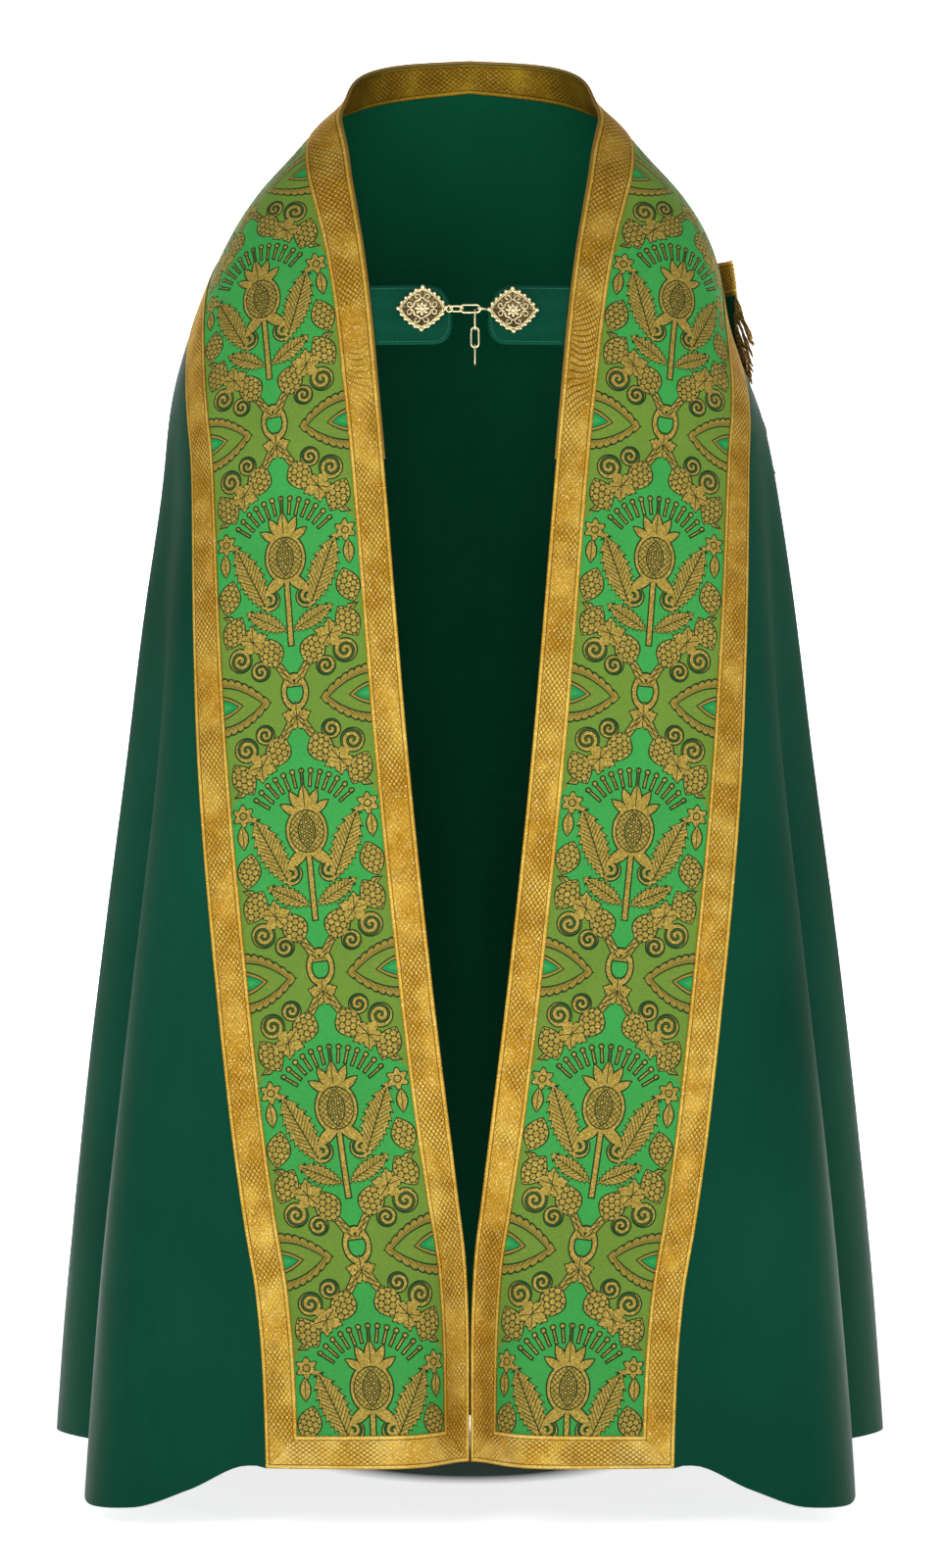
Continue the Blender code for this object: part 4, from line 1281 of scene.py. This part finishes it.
# ---- the shield on the back ----------------------------------------------------------------------
# The end of the shield's galloon, from behind the shield round its edge to the front: how far across it
# lies, and how far off the shield's inner face.
TURNED_END = {
    "across": (0.92, 0.94, 0.96, 0.98, 1.0, 1.0028, 1.0036, 1.0036, 1.0028),
    "out":    (-0.0011, -0.0011, -0.0011, -0.0011, -0.0011, -0.0009, 0.0, 0.0022, 0.0031),
}


@dataclass
class Shield:
    """The flat hood on the back: satin, galloon along its top, bullion fringe along its sides and foot."""

    cloak: Cloak
    middle: float = 82.0            # turn of its middle
    spread: float = 72.0            # turn from its middle to a corner
    below: float = 0.0008           # gap between its top edge and the band's outer edge
    corner: float = 0.022           # how far its top edge climbs at the corners
    depth: float = 0.440            # from its top edge to its lowest point
    side_depth: float = 0.150       # length of its straight sides
    narrows: float = 0.14           # share by which it narrows towards its foot
    round_power: float = 2.2        # these two shape its round foot
    round_share: float = 0.62
    cloth: float = 0.0022
    lift: tuple[float, float] = (0.0024, 0.0200)    # how far off the form its middle and corners stand
    corner_power: int = 6           # how close to the corners that climb and that stand-off stay
    off: float = 0.0040             # how much further off it hangs lower down
    top_row: float = 0.075          # share of its measure down that its galloon covers
    columns: int = 97
    braid_rows: int = 6
    cloth_rows: int = 56
    braid_lift: float = 0.0011      # from the shield's face to the galloon's
    fringe_down: float = 0.050      # the bullion's hanging length
    fringe_out: float = 0.020       # how far it spreads past the shield's edge
    fringe_clear: float = 0.0010
    fringe_lean: tuple[float, float] = (0.006, 0.016)   # how far its ends lean out, at foot and corners
    strands: int = 380
    strand_points: int = 12
    strand: float = 0.00135
    tip: float = 0.55               # a strand's end, as a share of its width
    crinkle: float = 0.0008
    heading: float = 0.0014
    heading_points: int = 420
    heading_insets: tuple[float, float, float] = (0.0010, 0.0042, 0.0074)   # a cord, the gimp, a cord

    @property
    def form(self) -> WornForm:
        """The form that the shield hangs on."""
        return self.cloak.form

    def places(self, across: np.ndarray, down: np.ndarray) -> tuple[np.ndarray, np.ndarray]:
        """Places and lifts of the shield.

        Args:
            across: From -1 to 1 between the corners.
            down: From 0 at the top edge to 1 at the foot.

        Returns:
            Turns and heights, and the lift off the form.
        """
        turn = self.middle - across * self.spread
        seam = self.form.grid[::-1, -1]
        top = np.interp(np.where(turn <= 90, turn, 180 - turn), seam[:, 0], seam[:, 1])
        top = top - self.below + self.corner * np.abs(across) ** self.corner_power
        inside = 1 - np.minimum(np.abs(across), 1.0) ** self.round_power
        rounded = (self.depth - self.side_depth) * inside ** self.round_share
        share = (down - self.top_row) / (1 - self.top_row)
        drop = np.where(down > self.top_row,
                        GALLOON_WIDTH + share * (self.side_depth + rounded - GALLOON_WIDTH),
                        GALLOON_WIDTH * down / self.top_row)
        aside = across * (1 - self.narrows * down)
        corner = (self.lift[1] - self.lift[0]) * np.abs(aside) ** self.corner_power
        lift = self.lift[0] + corner + self.off * ease(drop / self.depth)
        return np.stack([self.middle - aside * self.spread, top - drop], axis=-1), lift

    def points(self, across: np.ndarray, down: np.ndarray, out: np.ndarray | float) -> np.ndarray:
        """Points of the shield, moved out from its inner face."""
        places, lift = self.places(across, down)
        return self.cloak.laid(places, 0.0) + self.form.outward(places) * (lift + out)[..., None]

    def edge(self, count: int, out: float) -> tuple[np.ndarray, ...]:
        """Even points of the free edge, down one side, round the foot and up the other side.

        Args:
            count: How many points it has.
            out: How far off the shield's inner face they lie.

        Returns:
            The points, the directions square to the edge and away from it, the cloth's outward directions,
            and how close to the upper corners each point is, from 0 at the foot to 1.
        """
        side, foot = np.linspace(self.top_row, 0.99, 60), np.linspace(1.0, -1.0, 160)
        across = np.concatenate([np.ones(60), foot, -np.ones(60)])
        down = np.concatenate([side, np.ones(160), side[::-1]])
        run = run_along(self.points(across, down, 0.0))
        even = np.linspace(0.0, run[-1], count)
        across, down = np.interp(even, run, across), np.interp(even, run, down)
        points = self.points(across, down, out)
        face = self.form.outward(self.places(across, down)[0])
        square = unit(np.cross(np.gradient(points, axis=0), face))
        inward = np.where(np.abs(across) < 0.9, square[:, 2] > 0, square[:, 0] * across < 0)
        square[inward] *= -1
        return points, square, face, (np.abs(across) * (1 - down)) ** 2

    def add(self) -> None:
        """Make the shield, its galloon, its fringe and the fringe's heading."""
        f = self.cloak.finishes
        across = np.linspace(1.0, -1.0, self.columns)
        down = np.concatenate([np.linspace(0.0, self.top_row, self.braid_rows)[:-1],
                               np.linspace(self.top_row, 1.0, self.cloth_rows)])
        points = self.points(*np.meshgrid(across, down), self.cloth)
        measures = measured(points)
        facing = self.form.outward(self.places(across, down[:1])[0])[0]
        shield = ClothSheet("shield", points, measures, self.cloth, facing,
                            [f.satin, f.lining, f.satin]).build()
        dress(shield, "hood")
        self.add_braid(across, down[:self.braid_rows])
        fringe, heading = self.add_fringe(), self.add_heading()

    def add_braid(self, across: np.ndarray, down: np.ndarray) -> None:
        """The galloon along the top; its ends turn under round the corners and are sewn to the back.

        Args:
            across: The shield's columns.
            down: The rows that it covers.
        """
        end, end_out = (np.array(column) for column in TURNED_END.values())
        out = np.concatenate([end_out, np.full(len(across), self.cloth + self.braid_lift), end_out[::-1]])
        across = np.concatenate([end, across, -end[::-1]])
        points = self.points(*np.meshgrid(across, down), out)
        back = -self.form.outward(self.places(across[:1], down[:1])[0])[0]
        braid = ClothSheet("braid_shield", points, measured(points)[..., ::-1], GALLOON_CLOTH, back,
                           [self.cloak.finishes.galloon]).build()
        self.cloak.dress_braid(braid, "hood_galloon", points, "shield")

    def add_fringe(self) -> bpy.types.Object:
        """Bullion strands, each crinkled, a little out of line and of its own length."""
        chance = random.Random(SEED)
        points, square, face, corner = self.edge(self.strands, self.cloth / 2)
        lean = self.fringe_lean[0] + (self.fringe_lean[1] - self.fringe_lean[0]) * corner
        heads = points + square * self.fringe_clear
        feet = heads + square * (self.fringe_out, self.fringe_out, 0.0) + face * lean[:, None]
        feet[:, 2] -= self.fringe_down
        lines, radii = [], []
        steps = np.linspace(0.0, 1.0, self.strand_points)[:, None]
        for head, foot, out in zip(heads, feet, face):
            astray = np.array([chance.gauss(0, 0.0024), chance.gauss(0, 0.0024), 0.0])
            turn, pitch = chance.uniform(0, math.tau), chance.uniform(9.0, 14.0)
            waves = np.hstack([np.cos(turn + steps * pitch), np.sin(turn + steps * pitch), 0 * steps])
            line = head + (foot - head) * steps * chance.uniform(0.84, 1.04) + astray * steps ** 1.5
            bulge = waves * self.crinkle + out * chance.uniform(-0.0010, 0.0016)
            lines.append(line + bulge * np.minimum(steps * 4, 1.0))
            radii.append(np.append(np.ones(self.strand_points - 1), self.tip) * chance.uniform(0.86, 1.12))
        finish = self.cloak.finishes.bullion
        made = Tube("bullion_strands", lines, self.strand, finish, taper=radii).build()
        return dress(made, "hood_fringe")

    def add_heading(self) -> bpy.types.Object:
        """The woven heading that carries the strands: two cords and a gimp between them."""
        points, square, _, _ = self.edge(self.heading_points, self.cloth + 0.0006)
        gimp = np.sin(np.arange(self.heading_points) * 2.1)[:, None] * self.heading
        lines = [points - square * (inset + gimp * (row == 1))
                 for row, inset in enumerate(self.heading_insets)]
        made = Tube("fringe_heading", lines, self.heading, self.cloak.finishes.bullion).build()
        return dress(made)


# ---- tabs and clasp ------------------------------------------------------------------------------
@dataclass
class Tab:
    """A stiffened satin tab sewn inside a front edge, which carries a clasp plate."""

    cloak: Cloak
    side: Side
    top: float = -0.2610
    foot: float = -0.3210
    under: float = 0.028            # length sewn under the front edge
    reach: float = 0.0790           # length that shows past the front edge
    thick: float = 0.0030
    lean: float = 0.10              # how far it comes forwards, for each metre of its length
    behind: float = 0.0005          # gap to the front edge
    bend: float = 0.024             # radius of its round corners
    power: float = 2.6              # how square those corners are
    soft: float = 0.0013            # its turned edge is rounded by this much
    soft_width: float = 0.0022
    crease: float = 0.0005
    stitch_in: float = 0.0032
    stitch: tuple[float, float, float] = (0.0030, 0.0010, 0.00028)  # length, gap and radius

    @property
    def form(self) -> WornForm:
        """The form that the tab is sewn to."""
        return self.cloak.form

    @property
    def hand(self) -> float:
        """1 on the right and -1 on the left."""
        return 1.0 if self.side is Side.RIGHT else -1.0

    def point(self, height: float, along: float) -> np.ndarray:
        """A point of the tab's front face, along being the distance past the front edge."""
        place = np.array([float(self.form.front_edge_turn(height)), height])
        if along >= 0:
            edge = self.form.lifted(place, -self.behind)
            found = edge + along * np.array((-1.0, -self.lean, 0.0)) / math.hypot(1.0, self.lean)
        else:
            ahead = self.form.cloth(place + np.array([1.0, 0.0])) - self.form.cloth(place)
            moved = self.form.step(place[None], (ahead * -along / np.linalg.norm(ahead))[None])[0]
            found = self.form.lifted(moved, -self.behind)
        return found * np.array((self.hand, 1.0, 1.0))

    def frame(self, x: float, z: float) -> tuple[Vector, Vector, Vector, Vector]:
        """The point of the tab's face at x and z, and the directions along, up and out of it."""
        along = (abs(self.point(z, 0.0)[0]) - abs(x)) * math.hypot(1.0, self.lean)
        here = Vector(self.point(z, along))
        aside = 0.01 * self.hand
        right = Vector(self.point(z, along - aside)) - Vector(self.point(z, along + aside))
        up = Vector(self.point(z + 0.02, along)) - Vector(self.point(z - 0.02, along))
        right.normalize()
        out = right.cross(up).normalized()
        if out.y > 0:
            out.negate()
        up = out.cross(right)
        return here, right, up if up.z > 0 else -up, out

    def face_row(self, along: float, sides: np.ndarray) -> tuple[list[np.ndarray], list[tuple]]:
        """One row of the tab's face, from its top to its foot.

        Args:
            along: Distance past the front edge.
            sides: From 1 at the top to -1 at the foot.

        Returns:
            The row's points and their places on the cloth.
        """
        middle, half = (self.top + self.foot) / 2, (self.top - self.foot) / 2
        past = max(along - (self.reach - self.bend), 0.0) / self.bend
        tall = half * (1 - past ** self.power) ** (1 / self.power)
        row = []
        for share in sides:
            rim = min(tall * (1 - abs(share)), self.reach - along)
            sink = self.soft * (1 - min(rim / self.soft_width, 1.0)) ** 2
            waves = math.sin((middle + tall * share) * 260 + along * 30) * min(rim / 0.01, 1.0)
            moved = np.array((0.0, sink + self.crease * waves, 0.0))
            row.append(self.point(middle + tall * share, along) + moved)
        return row, [(tall * share, along) for share in sides]

    def add(self) -> None:
        """Make the tab and its topstitching."""
        f, name, straight = self.cloak.finishes, self.side.value, self.reach - self.bend
        round_end = self.reach - self.bend * (1 - np.sin(np.radians(np.linspace(4, 87.5, 20))))
        sides = np.sin(np.radians(np.linspace(90, -90, 25)))
        rows = [self.face_row(along, sides)
                for along in (*np.linspace(-self.under, straight, 30), *round_end)]
        points, measures = (np.array(part) for part in zip(*rows))
        facing = np.array((0.0, -1.0, 0.0))
        tab = ClothSheet(f"tab_{name}", points, measures, self.thick - self.soft, facing,
                         [f.tab, f.lining, f.tab]).build()
        dress(tab, f"morse_tab_{name}")
        stitches = self.add_stitches()
        flat = (self.top - self.foot, self.under + self.reach)
        round(min(cloth_area(points), flat[0] * flat[1]), 5)

    def add_stitches(self) -> bpy.types.Object:
        """A row of stitches 3 mm inside the edge."""
        middle, inside = (self.top + self.foot) / 2, (self.top - self.foot) / 2 - self.stitch_in
        bend = self.bend - self.stitch_in
        corner = self.reach - self.bend
        track = [self.point(middle + inside, a) for a in np.linspace(0.002, corner, 40)]
        for angle in np.radians(np.linspace(88, -88, 60)):
            c, s = (max(part, 0.0) ** (2 / self.power) for part in (math.cos(angle), abs(math.sin(angle))))
            track.append(self.point(middle + inside * math.copysign(s, angle), corner + bend * c))
        track += [self.point(middle - inside, a) for a in np.linspace(corner, 0.002, 40)]
        long, gap, radius = self.stitch
        lines = dashes(np.array(track), long, gap, np.array((0.0, -0.0002, 0.0)))
        made = Tube(f"tab_stitches_{self.side.value}", lines, radius, self.cloak.finishes.green_thread,
                    sides=0).build()
        return dress(made)


def dashes(track: np.ndarray, long: float, gap: float, lift: np.ndarray) -> list[np.ndarray]:
    """Cut a line into stitches.

    Args:
        track: The line's points.
        long: Length of a stitch.
        gap: Distance between two stitches.
        lift: How far the middle of a stitch stands off the cloth.

    Returns:
        Three points for each stitch.
    """
    run = run_along(track)
    lines = []
    for start in np.arange(0.0, run[-1] - long, long + gap):
        at = np.array([start, start + long / 2, start + long])
        points = np.column_stack([np.interp(at, run, track[:, k]) for k in range(3)])
        points[1] += lift
        lines.append(points)
    return lines


@dataclass
class Plate:
    """A cast clasp plate: a beaded lozenge with scrolls and a rosette in its middle."""

    name: str
    here: Vector
    right: Vector
    up: Vector
    out: Vector
    gilt: bpy.types.Material
    half: tuple[float, float] = (0.0244, 0.0228)
    lozenge: float = 1.35           # how the outline bows between its points, 1 being straight
    lift: float = 0.0008            # gap to the tab
    thick: float = 0.0022
    rim: float = 0.0022
    sunk: float = 0.0010
    tarnish: float = 0.85
    teeth: int = 20
    point_bead: float = 0.0025
    bead: float = 0.0019
    small_bead: float = 0.0011
    wire: float = 0.0008
    petals: int = 8
    petal: float = 0.0034
    boss: float = 0.0026

    def ring(self, angle: float, share: float, height: float = 0.0) -> Vector:
        """A point of the outline, drawn in by a share."""
        c, s = math.cos(angle), math.sin(angle)
        reach = share * (abs(c) ** self.lozenge + abs(s) ** self.lozenge) ** (-1 / self.lozenge)
        return Vector((self.half[0] * reach * c, self.half[1] * reach * s, height))

    def placed(self, made: bpy.types.Object, node: str | None = None) -> None:
        """Bring a piece modelled flat to the tab's face, in its mesh."""
        turned = Matrix((self.right, self.up, self.out)).transposed().to_4x4()
        made.data.transform(Matrix.Translation(self.here + self.out * self.lift) @ turned)
        dress(made, node)

    def add(self) -> None:
        """Cast the base, then set beads, rim, scrolls and rosette on it."""
        self.placed(self.base(), self.name)
        self.placed(self.beads())
        self.placed(self.relief())
        self.placed(self.rosette())

    def base(self) -> bpy.types.Object:
        """The plate with its toothed edge and a sunk dark field."""
        form = bmesh.new()
        bmesh.ops.create_circle(form, cap_ends=True, radius=1.0, segments=self.teeth * 8)
        for vert in form.verts:
            angle = math.atan2(vert.co.y, vert.co.x)
            vert.co = self.ring(angle, 0.985 + 0.035 * math.cos(self.teeth * angle))
        grown = bmesh.ops.extrude_face_region(form, geom=list(form.faces))
        top = [item for item in grown["geom"] if isinstance(item, bmesh.types.BMVert)]
        bmesh.ops.translate(form, verts=top, vec=(0.0, 0.0, self.thick))
        bmesh.ops.recalc_face_normals(form, faces=form.faces)
        face = max(form.faces, key=lambda f: f.calc_center_median().z)
        hollow = form.verts.layers.float.new("hollow")
        bmesh.ops.inset_individual(form, faces=[face], thickness=self.rim, depth=0.0)
        bmesh.ops.inset_individual(form, faces=[face], thickness=0.0008, depth=-self.sunk)
        field_verts = list(face.verts)
        for vert in field_verts + bmesh.ops.poke(form, faces=[face])["verts"]:
            vert[hollow] = self.tarnish
        return add_object(f"{self.name}_base", form, [self.gilt])

    def beads(self) -> bpy.types.Object:
        """Beads on the teeth, the four at the points larger."""
        form = bmesh.new()
        for number in range(self.teeth):
            angle = math.tau * number / self.teeth
            size = self.point_bead if number % (self.teeth // 4) == 0 else self.bead
            large = Matrix.Translation(self.ring(angle, 0.965, self.thick - 0.0001))
            small = Matrix.Translation(self.ring(angle + math.pi / self.teeth, 0.90, self.thick))
            bmesh.ops.create_icosphere(form, subdivisions=2, radius=size, matrix=large)
            bmesh.ops.create_icosphere(form, subdivisions=1, radius=self.small_bead, matrix=small)
        return add_object(f"{self.name}_beads", form, [self.gilt])

    def relief(self) -> bpy.types.Object:
        """Two rims and scrolls in each quarter."""
        around, turns = np.linspace(0, math.tau, 81), np.linspace(0.0, 1.0, 20)
        lines = [np.array([self.ring(angle, share, self.thick + 0.0001) for angle in around])
                 for share in (0.84, 0.47)]
        reach = 0.0040 * (1 - turns) + 0.0007
        for sx, sy in ((1, 1), (1, -1), (-1, 1), (-1, -1)):
            for cx, cy, start, hand in ((0.0118, 0.0045, 150, 1), (0.0052, 0.0118, -60, -1)):
                angle = np.radians(start) + hand * turns * 7.5
                x, y = sx * (cx + reach * np.cos(angle)), sy * (cy + reach * np.sin(angle))
                lines.append(np.column_stack([x, y, np.full(len(turns), self.thick + 0.0002)]))
        return Tube(f"{self.name}_scrolls", lines, self.wire, self.gilt).build()

    def rosette(self) -> bpy.types.Object:
        """A small flower of petals round a boss."""
        form = bmesh.new()
        for number in range(self.petals):
            turned = (Matrix.Rotation(math.tau * number / self.petals, 4, "Z")
                      @ Matrix.Translation((0.0046, 0.0, self.thick))
                      @ Matrix.Diagonal((1.0, 0.52, 0.42, 1.0)))
            bmesh.ops.create_icosphere(form, subdivisions=2, radius=self.petal, matrix=turned)
        raised = Matrix.Translation((0.0, 0.0, self.thick + 0.0004))
        bmesh.ops.create_icosphere(form, subdivisions=3, radius=self.boss,
                                   matrix=raised @ Matrix.Diagonal((1.0, 1.0, 0.6, 1.0)))
        return add_object(f"{self.name}_rosette", form, [self.gilt])


@dataclass
class Clasp:
    """Two plates, the ring and hook between them and the chain."""

    tabs: tuple[Tab, Tab]
    gilt: bpy.types.Material
    plate_x: tuple[float, float] = (-0.0465, 0.0418)
    plate_z: tuple[float, float] = (-0.2856, -0.2872)
    plate_half: float = 0.0244
    plate_top: float = 0.0048       # from the tab to the plate's face
    wire: float = 0.0020
    long: float = 0.0215            # length of a link
    first: float = 0.0146           # length of the short first link
    wide: float = 0.0094
    play: float = 0.0005            # gap where one wire bears on the next
    ring: float = 0.0030
    ring_wire: float = 0.0016
    level: float = -0.2862          # Z of the links, ring and hook between the plates
    middle: float = 0.0004          # X of the second link's middle
    tail: float = 0.0048            # X of the hanging links
    hook_wide: float = 0.0052
    hook_root: float = 0.0225       # X of the hook's root
    hook_tip: float = 0.0035        # from the middle of its bend to its tip
    tilt: float = 36.0              # degrees that the first link stands up from flat
    hanging: tuple[str, str, str] = ("hanging_link_upper", "hanging_link_middle", "hanging_link_lower")

    def level_y(self) -> float:
        """Y of the chain, level with the plates' faces at their tips."""
        tips = [tab.frame(x - math.copysign(self.plate_half, x), z)[0].y
                for tab, x, z in zip(self.tabs, self.plate_x, self.plate_z)]
        return sum(tips) / 2 - self.plate_top

    def link(self, name: str, body: str, middle: Vector, turned: Matrix, long: float) -> None:
        """A welded link of twisted wire.

        Args:
            name: Its name.
            body: The body that it rides on.
            middle: Where its middle is.
            turned: How it is turned.
            long: Its length.
        """
        bend, straight = (self.wide - self.wire) / 2, (long - self.wide) / 2
        angles = np.radians(np.linspace(-90, 90, 13))
        half = np.column_stack([straight + bend * np.cos(angles), 0 * angles, bend * np.sin(angles)])
        ends = (half, -half)
        made = Tube(name, [np.concatenate(ends)], self.wire / 2, self.gilt, closed=True, sides=3).build()
        made.data.transform(Matrix.Translation(middle) @ turned)
        dress(made, name.replace("wire", "chain"), body)

    def add(self) -> None:
        """Make plates, ring, hook and links where the model has them."""
        y = self.level_y()
        for name, tab, x, z in zip(("left", "right"), self.tabs, self.plate_x, self.plate_z):
            Plate(f"clasp_plate_{name}", *tab.frame(x, z), self.gilt).add()
        inner, grip = self.long - self.wire, self.wire + self.play
        first_inner = self.first - self.wire
        first_middle = self.middle - inner / 2 + grip - first_inner / 2
        ring_right = first_middle - first_inner / 2 + (self.wire + self.ring_wire) / 2 + self.play
        self.add_ring(ring_right - self.ring, y)
        self.add_hook(self.middle + inner / 2 - grip + self.hook_wide / 2, y)
        flat = Matrix.Rotation(math.radians(90 - self.tilt), 4, "X")
        level = Matrix.Identity(4)
        self.link("wire_link_1", "cope", Vector((first_middle, y, self.level)), flat, self.first)
        self.link("wire_link_2", "cope", Vector((self.middle, y, self.level)), level, self.long)
        down, edge_on = Matrix.Rotation(math.pi / 2, 4, "Y"), Matrix.Rotation(math.pi / 2, 4, "Z")
        carried_at = self.level - (self.wide - self.wire) / 2
        for number, body in enumerate(self.hanging, start=3):
            middle = carried_at + grip - inner / 2
            turned = edge_on @ down if number % 2 else down
            self.link(f"wire_link_{number}", body, Vector((self.tail, y, middle)), turned, self.long)
            carried_at = middle - inner / 2

    def add_ring(self, x: float, y: float) -> None:
        """The left plate's ring, its middle at x and y."""
        angles = np.linspace(0, math.tau, 24, endpoint=False)
        line = np.column_stack([x + self.ring * np.cos(angles), np.full(len(angles), y),
                                self.level + self.ring * np.sin(angles)])
        made = Tube("clasp_ring", [line], self.ring_wire / 2, self.gilt, closed=True, sides=3).build()
        dress(made)

    def add_hook(self, x: float, y: float) -> None:
        """The right plate's hook: its root, its bend with the middle at x and y, and its tip."""
        bend, arc = self.hook_wide / 2, np.linspace(-math.pi / 2, math.pi / 2, 17)
        line = np.column_stack([x - bend * np.cos(arc), y - bend * np.sin(arc),
                                np.full(len(arc), self.level)])
        root, tip = (self.hook_root, line[0, 1], self.level), (x + self.hook_tip, line[-1, 1], self.level)
        line = np.concatenate([[root], line, [tip]])
        dress(Tube("clasp_hook", [line], self.wire / 2, self.gilt, sides=3).build())


# ---- camera and studio ---------------------------------------------------------------------------
@dataclass(frozen=True)
class SoftLight:
    """A large area light."""

    name: str
    at: tuple[float, float, float]
    aim: tuple[float, float, float]
    power: float
    size: float

    def add(self) -> None:
        """Put the light up."""
        light = bpy.data.lights.new(self.name, "AREA")
        light.energy = self.power
        light.size = self.size
        holder = bpy.data.objects.new(self.name, light)
        holder.location = self.at
        holder.rotation_euler = (Vector(self.aim) - Vector(self.at)).to_track_quat("-Z", "Y").to_euler()
        bpy.context.scene.collection.objects.link(holder)


@dataclass(frozen=True)
class Studio:
    """Camera, floor, backdrop and lights."""

    camera_at: tuple[float, float, float] = (0.001, -3.9, -0.75)
    sensor: float = 24.0
    focal_share: float = 3936 / 1600    # focal length as a share of the sensor's height
    floor: float = -1.462
    floor_radius: float = 9.0
    wall_radius: float = 8.9
    wall_height: float = 12.0

    def add_camera(self) -> None:
        """A level camera in front, as far off as a person would stand."""
        lens = bpy.data.cameras.new("camera")
        lens.sensor_fit = "VERTICAL"
        lens.sensor_height = self.sensor
        lens.lens = self.focal_share * self.sensor
        holder = bpy.data.objects.new("camera", lens)
        holder.location = self.camera_at
        holder.rotation_euler = (math.pi / 2, 0.0, 0.0)
        bpy.context.scene.collection.objects.link(holder)
        bpy.context.scene.camera = holder

    def add_backdrop(self) -> None:
        """A pale floor and a round white wall that only the camera sees."""
        form = bmesh.new()
        bmesh.ops.create_circle(form, cap_ends=True, radius=self.floor_radius, segments=96)
        bmesh.ops.translate(form, verts=form.verts, vec=(0.0, 0.0, self.floor))
        floor = add_object("floor", form, [self.floor_paint()])
        form = bmesh.new()
        bmesh.ops.create_cone(form, cap_ends=False, radius1=self.wall_radius, radius2=self.wall_radius,
                              depth=self.wall_height, segments=96)
        bmesh.ops.translate(form, verts=form.verts, vec=(0.0, 0.0, self.floor + self.wall_height / 2))
        wall = add_object("backdrop", form, [self.pale("backdrop_paper", 1.0)])
        wall.visible_diffuse = wall.visible_glossy = wall.visible_shadow = wall.visible_transmission = False

    @staticmethod
    def pale(name: str, glow: float) -> bpy.types.Material:
        """White matt paint or paper."""
        material = bpy.data.materials.new(name)
        material.use_nodes = True
        tree = material.node_tree
        set_inputs(tree, tree.nodes["Principled BSDF"], {
            "Base Color": (0.9, 0.9, 0.9, 1.0), "Roughness": 0.9, "Specular IOR Level": 0.1,
            "Emission Color": (1.0, 1.0, 1.0, 1.0), "Emission Strength": glow,
        })
        return material

    def floor_paint(self) -> bpy.types.Material:
        """White paint that glows, the more the further off, so that it runs into the white wall: painted
        light that fades the soft shadow near the cope. Under the cope it does not glow: painted shade there.
        """
        material = self.pale("floor_paint", 0.35)
        tree = material.node_tree
        where = add_node(tree, "ShaderNodeTexCoord", {}).outputs["Object"]
        parts = add_node(tree, "ShaderNodeSeparateXYZ", {0: where})
        reach = Point(Value(tree, parts.outputs[0]), Value(tree, parts.outputs[1]) - 0.20).length()
        # No glow in a small round under the cope, which is painted shade; round it, the glow is painted
        # light.
        outside = reach.ramp(20.0, -2.6)
        glow = outside * (reach.ramp(0.5, -0.2) + 0.80)
        set_inputs(tree, tree.nodes["Principled BSDF"], {"Emission Strength": glow})
        return material

    def add_lights(self) -> None:
        """Even light all round, a large soft light from the upper left, weaker ones opposite and behind."""
        world = bpy.data.worlds.new("studio")
        world.use_nodes = True
        tree = world.node_tree
        set_inputs(tree, tree.nodes["Background"], {"Color": (1.0, 1.0, 1.0, 1.0), "Strength": 0.22})
        bpy.context.scene.world = world
        for light in (SoftLight("key", (-2.4, -3.4, 1.7), (0.0, 0.0, -0.6), 50.0, 1.8),
                      SoftLight("fill", (2.9, -2.8, 0.8), (0.0, 0.0, -0.7), 24.0, 2.4),
                      SoftLight("front", (0.0, -4.4, -0.9), (0.0, 0.0, -0.8), 32.0, 1.0),
                      SoftLight("back_left", (-2.0, 3.4, 1.2), (0.0, 0.0, -0.6), 22.0, 2.0),
                      SoftLight("back_right", (2.0, 3.4, 1.2), (0.0, 0.0, -0.6), 18.0, 2.0)):
            light.add()
        bpy.context.scene.view_settings.view_transform = "Standard"


def make_finishes() -> Wardrobe:
    """Make every material once."""
    return Wardrobe(
        satin=Satin("dyed_satin").material(),
        lining=Lining("dyed_sateen_lining").material(),
        brocade=Brocade("silk_and_metal_brocade", start=434.0).material(),
        galloon=Galloon("woven_metal_thread_galloon").material(),
        # A darker copy of the galloon for the inside of the neck: painted shade, where it lies in shadow.
        neck_galloon=Galloon("woven_metal_thread_galloon_painted_shade", gold="7c5a0a", light="a88a1c",
                             dark="3c2606", painted_glints=0.3).material(),
        # A lighter copy of the galloon for the feet of the bands: painted light.
        foot_galloon=Galloon("woven_metal_thread_galloon_painted_light", gold="d2a43a", light="f2d778").material(),
        bullion=Bullion("metal_bullion_cord").material(),
        gilt=Gilt("gilded_cast_metal").material(),
        thread=Thread("gold_piping_cord").material(),
        green_thread=Thread("green_sewing_thread", colour="1f7a58", metal=0.0).material(),
        tab=Satin("tab_satin", colour="0c3e2e", worn="104b39").material(),
    )


def main() -> None:
    """Build the studio and the cope, piece by piece."""
    logging.basicConfig(level=logging.INFO, format="%(message)s")
    studio = Studio()
    studio.add_camera()
    studio.add_backdrop()
    studio.add_lights()
    cloak = Cloak(WornForm(), make_finishes())
    cloak.add_body()
    for side in Side:
        cloak.add_band(side)
    cloak.add_neck_braid()
    cloak.add_piping()
    LOG.info("cloth laid on the form")
    Shield(cloak).add()
    LOG.info("shield and fringe made")
    tabs = tuple(Tab(cloak, side) for side in Side)
    for tab in tabs:
        tab.add()
    Clasp(tabs, cloak.finishes.gilt).add()
    LOG.info("clasp made")


if __name__ == "__main__":
    main()
